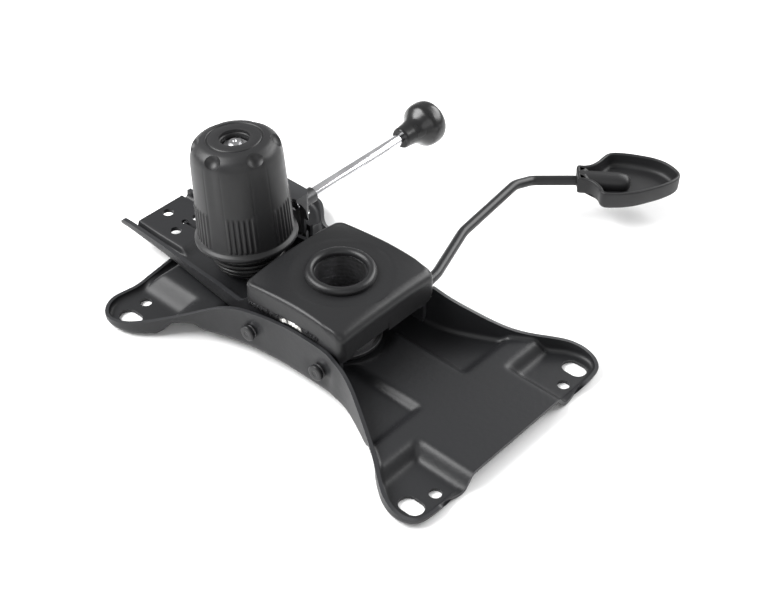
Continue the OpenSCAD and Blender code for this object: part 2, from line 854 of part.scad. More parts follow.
// Plan of the bracket's cap. Its inner edge runs round the knob.
cap_plan = [
    for (q = concat(
        [[-86, 29.5], [-78, 29.5], [-72, 28.3], [-66.4, 25.8], [-64.6, 27]],
        [for (t = [0 : 15 : 90])
            [lock_box[1] - lock_corner * (1 - cos(t)), 38 - lock_corner * (1 - sin(t))]],
        [[-86, 38]]))
        [q[0], q[1] + arm_add]];

module lock_bracket() {
    mid = [lock_box[1] - lock_corner, lock_plate[1] - lock_corner];
    color(steel_grey)
        difference() {
            union() {
                // outer plate
                translate([lock_box[0], lock_plate[0], 13])
                    cube([mid[0] - lock_box[0], lock_t, lock_top - 13]);
                // cap
                translate([0, 0, lock_top - lock_t])
                    linear_extrude(lock_t)
                        polygon(cap_plan);
                // rear web with its hollow inner edge, and the round corner
                intersection() {
                    union() {
                        translate([lock_box[1] - lock_t, 20, 0])
                            cube([lock_t, mid[1] - 20, lock_top]);
                        translate([mid[0], mid[1], 0])
                            difference() {
                                cylinder(r = lock_corner, h = lock_top);
                                translate([0, 0, -1])
                                    cylinder(r = lock_corner - lock_t, h = lock_top + 2);
                                translate([-9, -9, -1])
                                    cube([9, 20, lock_top + 2]);
                                translate([-9, -9, -1])
                                    cube([20, 9, lock_top + 2]);
                            }
                    }
                    translate([0, arm_add, 0])
                        along_x([[38, 30], [36.5, 30], [35.4, 33], [33.2, 40], [30.8, 44.4],
                            [26.4, lock_top - lock_t], [26.4, lock_top], [38, lock_top]], -90, -60);
                }
                // foot, welded to the arm wall
                translate([lock_box[0], arm_half - 4.4, 17])
                    cube([tongue_x[0] - lock_box[0] - 1, lock_plate[0] - arm_half + 5.4, lock_t]);
            }
            linear_extrude(27)
                polygon(arm_plan(0));
            // way through for the tooth
            translate([tooth_x[0] - 1, arm_half - 4, 0])
                cube([tooth_x[1] - tooth_x[0] + 9, 20, tooth_z[1] + 1]);
            // hole for the sleeve
            cross_pin(-lock_x, lock_z, sleeve_d, arm_half - 4, 60);
        }
}

module lock_sleeve() {
    color(steel_grey)
        difference() {
            cross_pin(-lock_x, lock_z, sleeve_d, lock_plate[0], sleeve_end);
            cross_pin(-lock_x, lock_z, lock_rod_d + 2 * run_gap, 30, 60);
        }
}

module lock_rod() {
    color(chrome_like)
        cross_pin(-lock_x, lock_z, lock_rod_d, arm_half - 3.4, lock_reach + 12);
}

module lock_rod_knob() {
    color(plastic_black)
        translate([-lock_x, lock_reach, lock_z])
            rotate([-90, 0, 0])
                difference() {
                    rotate_extrude($fn = 64)
                        polygon([[0, 0], [6, 0], [6.6, 1], [7, 7], [8.4, 11.4],
                            [11.4, 15.4], [lock_knob_d / 2 - 0.8, 18.4],
                            [lock_knob_d / 2, 20.6], [lock_knob_d / 2, 25],
                            [lock_knob_d / 2 - 0.8, 27.4], [11.4, 29.2],
                            [7.4, 30.4], [0, 31]]);
                    translate([0, 0, -1])
                        cylinder(d = lock_rod_d, h = 13);
                }
}

module lock_tongue() {
    color(steel_grey)
        difference() {
            union() {
                translate([tongue_x[0], tongue[0], tooth_z[0]])
                    cube([tongue_x[1] - tongue_x[0], tongue[1] - tongue[0], lock_z + 4 - tooth_z[0]]);
                translate([tooth_x[0], tongue[0], tooth_z[0]])
                    cube([tooth_x[1] - tooth_x[0], tooth_tip - tongue[0], tooth_z[1] - tooth_z[0]]);
            }
            cross_pin(-lock_x, lock_z, lock_rod_d, 20, 60);
        }
}

module lock_keeper() {
    color(steel_grey)
        difference() {
            union() {
                translate([keeper_x[0], keeper_y[0], field_z])
                    cube([keeper_x[1] - keeper_x[0], keeper_y[1] - keeper_y[0], keeper_top - field_z]);
                translate([keeper_x[0], keeper_y[0], field_z])
                    cube([keeper_x[1] - keeper_x[0], 8, lock_t]);
            }
            translate([tooth_x[0] - 1, 30, tooth_z[0] - 1])
                cube([tooth_x[1] - tooth_x[0] + 2, 20, tooth_z[1] - tooth_z[0] + 2]);
        }
}

module lever_cradle() {
    color(steel_grey)
        difference() {
            for (x = [cheek_x[0], cheek_x[1] - cheek_t])
                translate([x, lever_hinge[1] - 2.8, lever_hinge[2] - 4])
                    cube([cheek_t, arm_in - lever_hinge[1] + 2.8, 8]);
            translate([0, lever_hinge[1], lever_hinge[2]])
                rotate([0, 90, 0])
                    cylinder(d = lever_pin_d + 2 * run_gap, h = 60);
        }
}

// Two stubs welded to the sides of the rod.
module lever_pin() {
    stub_l = (cheek_x[1] - cheek_x[0]) / 2 - gas_r;
    color(steel_grey)
        for (s = [-1, 1])
            translate([lever_hinge[0] + s * (gas_r + 0.02), lever_hinge[1], lever_hinge[2]])
                rotate([0, s * 90, 0])
                    cylinder(d = lever_pin_d, h = stub_l);
}

module gas_lever_rod() {
    color(steel_black)
        bar_along(bent(gas_path, gas_bend, 4), gas_r, 12);
}

module gas_lever_paddle() {
    color(plastic_black)
        difference() {
            translate(neck)
                rotate([0, 0, neck_turn]) {
                    difference() {
                        linear_extrude(paddle_h)
                            polygon(leaf);
                        translate([0, 0, leaf_floor])
                            linear_extrude(paddle_h)
                                intersection() {
                                    polygon(moved_in(leaf_turned, leaf_wall));
                                    translate([5, -40])
                                        square([80, 80]);
                                }
                    }
                    // socket for the rod
                    intersection() {
                        translate([0, 0, 4.3])
                            rotate([0, 90, 0])
                                union() {
                                    cylinder(r = hub_r, h = hub_l);
                                    translate([0, 0, hub_l])
                                        sphere(r = hub_r);
                                }
                        translate([-1, -20, 0])
                            cube([60, 40, paddle_h]);
                    }
                }
            bar_along(bent(gas_path, gas_bend, 4), gas_r, 12);
        }
}

seat_plate();
arm_channel();
column_housing();
socket_tube();
socket_lip();
weld_beads();
pivot_rivets();
stop_rivets();
rivet_washers();
pivot_bushes();
rest_bumper();
bolt_anchor();
tension_bolt();
seat_spacer();
spring_cup();
tension_spring();
thrust_washer();
knob_shell();
knob_nut();
lock_bracket();
lock_sleeve();
lock_rod();
lock_rod_knob();
lock_tongue();
lock_keeper();
lever_cradle();
lever_pin();
gas_lever_rod();
gas_lever_paddle();
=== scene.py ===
"""Dressed model of a chair push back mechanism, as a Blender add-on.

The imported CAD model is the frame. The operators below build the pressed
sheets, the moulded pieces, the rods and the welds over it, give every piece
its material, and set the floor, the lamps and the camera. Lengths in the
lists are millimetres in the frame of the part: +Z away from the seat, -X the
knob end, +Y the side of the levers.
"""

import math

import bmesh
import bpy
import numpy as np
from bpy.props import FloatProperty, FloatVectorProperty, PointerProperty
from mathutils import Matrix, Vector


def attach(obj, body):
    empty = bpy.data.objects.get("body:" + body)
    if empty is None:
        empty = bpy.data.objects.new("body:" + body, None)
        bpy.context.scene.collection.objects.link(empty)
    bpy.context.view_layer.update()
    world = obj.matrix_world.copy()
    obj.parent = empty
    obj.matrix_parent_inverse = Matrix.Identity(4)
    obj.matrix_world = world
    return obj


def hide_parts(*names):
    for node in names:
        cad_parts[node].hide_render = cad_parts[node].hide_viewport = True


bl_info = {
    "name": "Push back mechanism",
    "version": (1, 0, 0),
    "blender": (4, 5, 0),
    "location": "View3D > Sidebar > Mechanism",
    "description": "Builds the looks of a chair push back mechanism",
    "category": "Object",
}

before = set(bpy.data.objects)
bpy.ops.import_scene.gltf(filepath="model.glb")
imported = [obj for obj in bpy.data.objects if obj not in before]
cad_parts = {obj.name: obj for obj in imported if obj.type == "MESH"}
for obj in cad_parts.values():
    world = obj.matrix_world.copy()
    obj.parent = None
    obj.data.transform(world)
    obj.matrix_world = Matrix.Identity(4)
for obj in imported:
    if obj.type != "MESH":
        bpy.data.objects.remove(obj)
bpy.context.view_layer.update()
MM = 0.001


# Sizes.


def size(label, value, about):
    """A length in millimetres, shown in the panel."""
    return FloatProperty(name=label, default=value, description=about + ", mm", min=0.0)


def colour(label, value, about):
    return FloatVectorProperty(
        name=label, default=value, description=about, subtype="COLOR", size=3, min=0, max=1
    )


class MechanismSizes(bpy.types.PropertyGroup):
    """Sizes in millimetres."""

    plate_t: size("Plate sheet", 2.0, "Sheet thickness of the seat plate")
    press_soft: size("Press radius", 1.5, "How softly the pressed ramps of the plate bend")
    flange_r: size("Flange radius", 2.6, "Inner bend radius of the plate's flange")
    arm_t: size("Arm sheet", 2.5, "Sheet thickness of the arm")
    cover_t: size("Cover sheet", 2.5, "Sheet thickness of the cover")
    cover_r: size("Cover edge radius", 2.4, "Bend radius of the cover's top edge")
    cover_soft: size("Cover rear radius", 6.0, "Bend radius of the cover's rear edge")
    bore_r: size("Socket bore radius", 14.0, "Bore of the column socket")
    knob_h: size("Knob height", 60.8, "Height of the tension knob above its rim")
    rib_h: size("Rib height", 0.55, "How far the knob's grip ribs stand out")
    gas_rod_r: size("Gas rod radius", 3.0, "Radius of the gas lever rod")
    rod_r: size("Lock rod radius", 3.5, "Radius of the lock rod")
    paddle_h: size("Paddle height", 11.0, "Height of the paddle tray")


class MechanismColours(bpy.types.PropertyGroup):
    """Base colours, linear."""

    coat: colour("Powder coat", (0.0112, 0.0115, 0.0127), "Black powder coat of the sheets")
    cover: colour("Cover coat", (0.0098, 0.0099, 0.0107), "Black coat of the domed cover")
    plastic: colour("Knob plastic", (0.0108, 0.0108, 0.0115), "Moulded black plastic")
    zinc: colour("Zinc", (0.42, 0.42, 0.43), "Zinc plated steel")
    chrome: colour("Chrome", (0.82, 0.82, 0.84), "Polished rod")
    grey: colour("Grey steel", (0.024, 0.0245, 0.026), "Grey coated steel")
    floor: colour("Floor", (0.93, 0.93, 0.93), "Studio floor")


# Helpers.


def smoothstep(t):
    t = np.clip(t, 0.0, 1.0)
    return t * t * (3 - 2 * t)


def spline(points, count, closed=False):
    """Points along a centripetal curve through the given ones, evenly spread."""
    p = np.array(points, float)
    if closed:
        p = np.vstack([p[-1], p, p[0], p[1]])
    else:
        p = np.vstack([2 * p[0] - p[1], p, 2 * p[-1] - p[-2]])
    out = []
    for i in range(1, len(p) - 2):
        a, b, c, d = p[i - 1 : i + 3]
        way = [max(1e-6, np.linalg.norm(v) ** 0.5) for v in (b - a, c - b, d - c)]
        t1, t2, t3 = np.cumsum(way)
        t = np.linspace(t1, t2, 24, endpoint=False)[:, None]

        def mix(start, end, q0, q1):
            return (end - t) / (end - start) * q0 + (t - start) / (end - start) * q1

        ab, bc, cd = mix(0, t1, a, b), mix(t1, t2, b, c), mix(t2, t3, c, d)
        out.append(mix(t1, t2, mix(0, t2, ab, bc), mix(t1, t3, bc, cd)))
    fine = np.vstack(out + [p[-2:-1]])
    way = np.concatenate([[0], np.cumsum(np.linalg.norm(np.diff(fine, axis=0), axis=1))])
    at = np.linspace(0, way[-1], count, endpoint=not closed)
    return np.stack([np.interp(at, way, fine[:, k]) for k in range(p.shape[1])], 1)


def full_turn(count):
    return np.linspace(0, 2 * np.pi, count, endpoint=False)


def around(count):
    """Unit vectors evenly round a turn."""
    t = full_turn(count)
    return np.column_stack([np.cos(t), np.sin(t)])


def corner(start, b, end, count):
    """Points along a curve that rounds the corner b."""
    t = np.linspace(0, 1, count)[:, None]
    return list((1 - t) ** 2 * start + 2 * t * (1 - t) * b + t * t * end)


def inward_of(loop):
    """Unit vectors to the right of the way round a closed loop."""
    way = np.roll(loop, -1, 0) - np.roll(loop, 1, 0)
    way /= np.linalg.norm(way, axis=1)[:, None]
    return np.stack([way[:, 1], -way[:, 0]], 1)


def placed(at, degrees, axis):
    """A place in the frame, turned about one axis."""
    return Matrix.Translation(at) @ Matrix.Rotation(math.radians(degrees), 4, axis)


def link(name, me):
    """A new object in the scene, of a mesh."""
    obj = bpy.data.objects.new(name, me)
    bpy.context.scene.collection.objects.link(obj)
    return obj


def from_bmesh(name, bm):
    """A new object in the scene, of a bmesh that is then freed."""
    me = bpy.data.meshes.new(name)
    bm.to_mesh(me)
    bm.free()
    return link(name, me)


def mesh_object(name, verts, faces):
    """A new object from points in millimetres."""
    me = bpy.data.meshes.new(name)
    points = (np.asarray(verts, float) * MM).tolist()
    me.from_pydata(points, [], [list(map(int, f)) for f in faces])
    me.validate()
    me.update()
    return link(name, me)


def grid_faces(rows, cols, wrap_rows=False, wrap_cols=False, flip=False):
    faces = []
    for i in range(rows if wrap_rows else rows - 1):
        for j in range(cols if wrap_cols else cols - 1):
            a = i * cols + j
            b = i * cols + (j + 1) % cols
            c = ((i + 1) % rows) * cols + (j + 1) % cols
            d = ((i + 1) % rows) * cols + j
            faces.append((a, d, c, b) if flip else (a, b, c, d))
    return faces


def edit_mesh(obj, work):
    """Runs work on the object's mesh as a bmesh."""
    bm = bmesh.new()
    bm.from_mesh(obj.data)
    work(bm)
    bm.to_mesh(obj.data)
    bm.free()


def crease(obj, angle):
    """Smooth shading with sharp edges where faces meet at more than angle."""
    limit = math.radians(angle)

    def shade(bm):
        for f in bm.faces:
            f.smooth = True
        for e in bm.edges:
            e.smooth = len(e.link_faces) == 2 and e.calc_face_angle(0.0) < limit

    edit_mesh(obj, shade)


def face_outward(obj, top=None):
    """Turns the normals outward, those of a sheet upward at a point of its top."""

    def turn(bm):
        bmesh.ops.recalc_face_normals(bm, faces=bm.faces)
        if top is not None:
            spot = Vector(top) * MM
            face = min(bm.faces, key=lambda f: (f.calc_center_median() - spot).length)
            if face.normal.z < 0:
                bmesh.ops.reverse_faces(bm, faces=bm.faces)

    edit_mesh(obj, turn)


def apply_all(obj):
    """The object's mesh with its modifiers applied."""
    deps = bpy.context.evaluated_depsgraph_get()
    fresh = bpy.data.meshes.new_from_object(obj.evaluated_get(deps))
    old = obj.data
    obj.modifiers.clear()
    obj.data = fresh
    bpy.data.meshes.remove(old)


def modify(obj, kind, **values):
    """Adds a modifier with these values."""
    mod = obj.modifiers.new(kind.lower(), kind)
    for key, value in values.items():
        setattr(mod, key, value)


def solidify(obj, thickness):
    """Gives a skin the thickness of its sheet, below its outer face."""
    modify(
        obj, "SOLIDIFY", thickness=thickness * MM, offset=-1,
        use_even_offset=True, use_quality_normals=True,
    )
    apply_all(obj)


def join(objs, name):
    """One object from several, their meshes in one."""
    bm = bmesh.new()
    for o in objs:
        part = o.data.copy()
        part.transform(o.matrix_world)
        bm.from_mesh(part)
        bpy.data.meshes.remove(part)
    for o in objs:
        bpy.data.objects.remove(o)
    return from_bmesh(name, bm)


def cut(obj, cutters):
    """Takes the cutters away from obj, then deletes them."""
    joined = join(cutters, "cutter")
    modify(obj, "BOOLEAN", operation="DIFFERENCE", solver="MANIFOLD", object=joined)
    apply_all(obj)
    bpy.data.objects.remove(joined)


def ringed(name, rings, place=None, closed=False):
    """A skin over closed rings, given as an array of rings by points by 3."""
    rows, cols = rings.shape[:2]
    verts = rings.reshape(-1, 3)
    if place is not None:
        m = np.array(place)
        verts = verts @ m[:3, :3].T + m[:3, 3]
    faces = grid_faces(rows, cols, wrap_cols=True, wrap_rows=closed)
    if not closed:
        faces.append(list(range(cols - 1, -1, -1)))
        faces.append(list(range((rows - 1) * cols, rows * cols)))
    obj = mesh_object(name, verts, faces)
    edit_mesh(obj, lambda bm: bmesh.ops.remove_doubles(bm, verts=bm.verts, dist=2e-6))
    face_outward(obj)
    return obj


def turned(name, profile, segments, place, closed=False):
    """A piece turned about Z from (r, z) pairs, placed by a matrix in mm."""
    ray = around(segments)
    rings = [np.column_stack([r * ray, np.full(segments, z)]) for r, z in profile]
    return ringed(name, np.array(rings), place, closed)


def prism(outline, low, high, axis=2):
    """A cutter with the outline as its section, drawn out along an axis."""
    flat = np.array(outline, float)
    return ringed("cutter", np.array([np.insert(flat, axis, at, axis=1) for at in (low, high)]))


def round_cutter(x, y, z0, z1, r, stretch=0.0):
    """An upright round or slotted cutter, its slot along X."""
    t = full_turn(40)
    px = x + r * np.cos(t) + np.where(np.cos(t) > 0, stretch, -stretch)
    return prism(np.column_stack([px, y + r * np.sin(t)]), z0, z1)


def block(lo, hi):
    (x0, y0, z0), (x1, y1, z1) = lo, hi
    return prism([(x0, y0), (x1, y0), (x1, y1), (x0, y1)], z0, z1)


def rounded_profile(points, radii, steps):
    """Rounds the corners of an (r, z) profile. A radius of 0 keeps a corner sharp."""
    p = [np.array(q, float) for q in points]
    out = [p[0]]
    for i in range(1, len(p) - 1):
        r = radii[i] if i < len(radii) else 0
        a, b, c = p[i - 1], p[i], p[i + 1]
        u, v = a - b, c - b
        lu, lv = np.linalg.norm(u), np.linalg.norm(v)
        if r <= 0 or lu < 1e-6 or lv < 1e-6:
            out.append(b)
            continue
        k = min(r, 0.49 * lu, 0.49 * lv)
        out += corner(b + u / lu * k, b, b + v / lv * k, steps + 1)
    out.append(p[-1])
    return out


def bar(r, low, high, edge):
    """The profile of a round bar with softened ends."""
    ends = [(0, low), (r, low), (r, high), (0, high)]
    return rounded_profile(ends, [0, edge, edge, 0], 3)


def swept(name, path, radius, sides):
    """A round bar along a path of points, with chamfered ends."""
    p = np.array(path, float)
    tangent = np.gradient(p, axis=0)
    tangent /= np.linalg.norm(tangent, axis=1)[:, None]
    u = np.cross(tangent, (0.0, 0.0, 1.0))
    u /= np.linalg.norm(u, axis=1)[:, None]
    v = np.cross(u, tangent)
    t = full_turn(sides)[:, None]

    def ring(i, r):
        return p[i] + r * (np.cos(t) * u[i] + np.sin(t) * v[i])

    first = ring(0, 0.75 * radius) - tangent[0] * 0.5
    last = ring(-1, 0.75 * radius) + tangent[-1] * 0.5
    return ringed(name, np.array([first, *(ring(i, radius) for i in range(len(p))), last]))


def finish_piece(obj, body, slot, material, angle, *nodes):
    """Shading, material, body and the CAD nodes that the piece stands for."""
    crease(obj, angle)
    obj.data.materials.clear()
    obj.data.materials.append(MATERIALS[material])
    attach(obj, body)
    if nodes:
        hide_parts(*nodes)


# Materials.

MATERIALS = {}
COAT_SPEC = 0.36


def new_material(name, base, metallic, rough, spec=0.5, coat=0.0):
    mat = bpy.data.materials.new(name)
    mat.use_nodes = True
    bsdf = mat.node_tree.nodes["Principled BSDF"]
    for socket, value in (
        ("Base Color", (*base, 1)),
        ("Metallic", metallic),
        ("Roughness", rough),
        ("Specular IOR Level", spec),
        ("Coat Weight", coat),
        ("Coat Roughness", 0.28),
    ):
        bsdf.inputs[socket].default_value = value
    return mat, mat.node_tree, bsdf


def noise(tree, scale, detail, rough, stretch=None):
    """The output of a noise over the object's own coordinates."""
    where = tree.nodes.new("ShaderNodeTexCoord").outputs["Object"]
    if stretch is not None:
        place = tree.nodes.new("ShaderNodeMapping")
        place.inputs["Scale"].default_value = stretch
        tree.links.new(where, place.inputs["Vector"])
        where = place.outputs["Vector"]
    node = tree.nodes.new("ShaderNodeTexNoise")
    node.inputs["Scale"].default_value = scale
    node.inputs["Detail"].default_value = detail
    node.inputs["Roughness"].default_value = rough
    tree.links.new(where, node.inputs["Vector"])
    return node.outputs["Fac"]


def ramp(tree, source, stops, target):
    """Grey levels or colours over a source, into a socket."""
    node = tree.nodes.new("ShaderNodeValToRGB")
    bar = node.color_ramp
    while len(bar.elements) < len(stops):
        bar.elements.new(0.5)
    for el, (pos, val) in zip(bar.elements, stops):
        el.position = pos
        el.color = (*val, 1) if isinstance(val, tuple) else (val, val, val, 1)
    tree.links.new(source, node.inputs["Fac"])
    tree.links.new(node.outputs["Color"], target)


def tint(base, k):
    return tuple(min(1.0, c * k) for c in base)


def bump_chain(tree, bsdf, layers):
    """Bumps in metres of depth, one over another."""
    last = None
    for source, strength, depth in layers:
        node = tree.nodes.new("ShaderNodeBump")
        node.inputs["Strength"].default_value = strength
        node.inputs["Distance"].default_value = depth
        tree.links.new(source, node.inputs["Height"])
        if last is not None:
            tree.links.new(last, node.inputs["Normal"])
        last = node.outputs["Normal"]
    tree.links.new(last, bsdf.inputs["Normal"])


def powder_coat(name, base, rough, grain):
    """Black coat on steel: fine orange peel, faint clouding, paler along sharp convex edges."""
    mat, tree, bsdf = new_material(name, base, 0.0, rough, COAT_SPEC)
    cloud = noise(tree, 14, 5, 0.6)
    mix = tree.nodes.new("ShaderNodeMix")
    mix.data_type = "RGBA"
    mix.inputs["B"].default_value = (*tint(base, 2.6), 1)
    # a paler colour blended in where the mesh is sharply convex
    edge = tree.nodes.new("ShaderNodeNewGeometry").outputs["Pointiness"]
    ramp(tree, edge, [(0.53, 0), (0.62, 0.55)], mix.inputs["Factor"])
    ramp(tree, cloud, [(0.3, tint(base, 0.86)), (0.7, tint(base, 1.16))], mix.inputs["A"])
    tree.links.new(mix.outputs["Result"], bsdf.inputs["Base Color"])
    ramp(tree, cloud, [(0.25, rough + 0.07), (0.75, rough - 0.05)], bsdf.inputs["Roughness"])
    peel, speck = noise(tree, 320, 2, 0.5), noise(tree, 900, 3, 0.6)
    bump_chain(tree, bsdf, [(peel, grain, 0.00022), (speck, grain * 0.8, 0.00006)])
    return mat


def moulded(name, base, rough, grain, coat=0.0):
    """Moulded plastic with a fine spark grain and a faint haze of dust."""
    mat, tree, bsdf = new_material(name, base, 0.0, rough, COAT_SPEC, coat)
    cloud = noise(tree, 22, 4, 0.6)
    tones = [(0.3, tint(base, 0.9)), (0.72, tint(base, 1.2))]
    ramp(tree, cloud, tones, bsdf.inputs["Base Color"])
    ramp(tree, cloud, [(0.3, rough + 0.05), (0.7, rough - 0.05)], bsdf.inputs["Roughness"])
    bump_chain(tree, bsdf, [(noise(tree, 1500, 2, 0.6), grain, 0.00008)])
    return mat


def plated(name, base, rough, stretch=(1, 1, 1)):
    """Zinc or bare steel: cloudy crystals and fine scratches."""
    mat, tree, bsdf = new_material(name, base, 1.0, rough)
    tones = [(0.3, tint(base, 0.78)), (0.7, tint(base, 1.15))]
    ramp(tree, noise(tree, 60, 5, 0.65), tones, bsdf.inputs["Base Color"])
    scratch = noise(tree, 500, 3, 0.7, stretch)
    shine = [(0.3, rough + 0.1), (0.7, max(0.05, rough - 0.08))]
    ramp(tree, scratch, shine, bsdf.inputs["Roughness"])
    bump_chain(tree, bsdf, [(scratch, 0.12, 0.00005)])
    return mat


def weld_metal(name):
    """A weld bead: bright ripples among burnt dark scale."""
    bright = (0.55, 0.54, 0.52)
    mat, tree, bsdf = new_material(name, bright, 1.0, 0.3)
    lump, patch = noise(tree, 420, 5, 0.7), noise(tree, 105, 2, 0.5)
    tones = [
        (0.5, (0.02, 0.02, 0.021)), (0.57, (0.06, 0.06, 0.058)),
        (0.62, bright), (0.7, (0.8, 0.79, 0.77)),
    ]
    ramp(tree, patch, tones, bsdf.inputs["Base Color"])
    ramp(tree, lump, [(0.4, 0.6), (0.6, 0.2)], bsdf.inputs["Roughness"])
    bump_chain(tree, bsdf, [(lump, 0.9, 0.0005)])
    return mat


def make_materials(colours):
    MATERIALS.update(
        coat=powder_coat("powder coat", colours.coat, 0.43, 0.34),
        cover=powder_coat("cover coat", colours.cover, 0.38, 0.28),
        rod=powder_coat("rod coat", colours.cover, 0.36, 0.15),
        grey=powder_coat("grey coat", colours.grey, 0.45, 0.3),
        plastic=moulded("knob plastic", colours.plastic, 0.44, 0.3),
        cup=moulded("cup plastic", tint(colours.plastic, 0.8), 0.36, 0.15),
        paddle=moulded("paddle plastic", tint(colours.plastic, 1.05), 0.46, 0.35),
        gloss=moulded("lever knob plastic", tint(colours.plastic, 0.55), 0.27, 0.1, coat=0.3),
        rubber=moulded("rubber", tint(colours.plastic, 0.7), 0.7, 0.2),
        zinc=plated("zinc", colours.zinc, 0.36),
        tube=plated("socket steel", tint(colours.zinc, 0.9), 0.34, (1, 1, 8)),
        sleeve=plated("sleeve steel", tint(colours.zinc, 0.22), 0.4),
        collar=plated("collar steel", tint(colours.zinc, 0.3), 0.55),
        spring=plated("spring steel", tint(colours.zinc, 0.2), 0.35),
        chrome=plated("chrome", colours.chrome, 0.1, (8, 1, 8)),
        weld=weld_metal("weld metal"),
    )


# Seat plate.

HALF_OUTLINE = [
    (-122.5, 0), (-121.8, 12), (-120.6, 24), (-119, 36), (-117.6, 48),
    (-118.6, 56), (-119.2, 63), (-116.6, 70.5), (-110, 76.6), (-101.5, 78),
    (-92.5, 75.4), (-84, 68.8), (-75, 60), (-65, 52.4), (-55, 47.6),
    (-45, 44.3), (-35, 42), (-24, 40.4), (-12, 39.4), (0, 39.2),
    (9, 39.2), (20, 39.3), (26, 40.3), (33, 41.6), (40.5, 44.2), (48.5, 48),
    (57, 52.4), (67, 58.2), (76, 64.4), (84, 70.6), (92, 75.8),
    (100, 78.2), (107, 77.4), (112.4, 73.2), (114.4, 66.6),
    (114.4, 30), (114.4, 0),
]
FLANGE_TOP = [
    (-130, 5.4), (-116, 5), (-101, 7), (-88, 10), (-79, 11.6),
    (-70, 14.5), (-63, 18.5), (-54, 24), (-46, 28), (-36, 29.5),
    (-19, 31.5), (-3, 33), (16, 33), (25, 31.4), (33, 28.4),
    (40.5, 25.6), (48.5, 21.6), (57, 17.6), (67, 13.6), (77, 11.8),
    (84, 10.8), (93, 9.4), (104, 6.4), (111, 4.4), (130, 4.4),
]
EAR_Z, POCKET_Z, FIELD_Z = 2.0, 6.0, 9.5
SLOT_AT, SLOT_R, SLOT_HALF = (102, 66), 5.15, 1.95
HOLE_AT, HOLE_R = (105.3, 52), 3.4
PIVOT, STOP = (15, 17.5), (-32.5, 17.5)
PIVOT_FACE, STOP_FACE = 39.3, 41.5
FRONT_CORNER, REAR_CORNER = np.array([-114.6, 73.0]), np.array([112.4, 73.2])
SOCKET_X = -6.0
# Raised areas: from x, to x, half width, run in x, run in y, level.
HILLS = [
    (-71, 71, 96, 3, 1, POCKET_Z),
    (-110, 140, 17.5, 5.6, 3, FIELD_Z),
    (66, 79, 96, 4.5, 1, FIELD_Z),
    (-79, -66, 96, 4.5, 1, FIELD_Z),
    (66, 140, 36, 4.5, 5, FIELD_Z),
    (-110, -66, 36, 5.6, 9, FIELD_Z),
]
# The dish under the socket: level, radius of its floor, outer radius, slope.
DISH_Z, DISH_R, DISH_OUT, DISH_SLOPE = 4.5, 24, 42, 1.2
# The notch that lets the gas lever out, its corners rounded.
LEVER_NOTCH = [
    (14, 40), (14, 24.6), (14.6, 23.2), (16, 22.6),
    (22.6, 22.6), (24, 23.2), (24.6, 24.6), (24.6, 40),
]


def pressed_height(soft):
    """A lookup of the plate's upper face: softened ramps between its levels."""
    step = 0.5
    xs = np.arange(-130, 125, step)
    ys = np.arange(-90, 90.1, step)
    x, y = np.meshgrid(xs, np.abs(ys), indexing="ij")
    z = np.full_like(x, EAR_Z)
    for x0, x1, y_half, run_x, run_y, level in HILLS:
        hx = 1 - np.maximum(np.maximum(x0 - x, x - x1), 0) / run_x
        hy = 1 - np.maximum(y - y_half, 0) / run_y
        z = np.maximum(z, EAR_Z + (level - EAR_Z) * np.clip(np.minimum(hx, hy), 0, 1))
    far = np.hypot(x - SOCKET_X, y)
    dish = DISH_Z + np.maximum(0, far - DISH_R) / DISH_SLOPE
    z = np.where(far < DISH_OUT, np.minimum(z, dish), z)
    reach = int(3 * soft / step)
    w = np.exp(-0.5 * (np.arange(-reach, reach + 1) * step / soft) ** 2)
    w /= w.sum()
    pad = np.pad(z, reach, mode="edge")
    pad = sum(w[k] * pad[k : k + z.shape[0], :] for k in range(2 * reach + 1))
    z = sum(w[k] * pad[:, k : k + z.shape[1]] for k in range(2 * reach + 1))

    def at(px, py):
        fx = np.clip((px - xs[0]) / step, 0, len(xs) - 1.001)
        fy = np.clip((py - ys[0]) / step, 0, len(ys) - 1.001)
        i, j = fx.astype(int), fy.astype(int)
        u, v = fx - i, fy - j
        corners = [(p, q) for q in (0, 1) for p in (0, 1)]
        return sum(z[i + p, j + q] * np.abs(1 - p - u) * np.abs(1 - q - v) for p, q in corners)

    return at


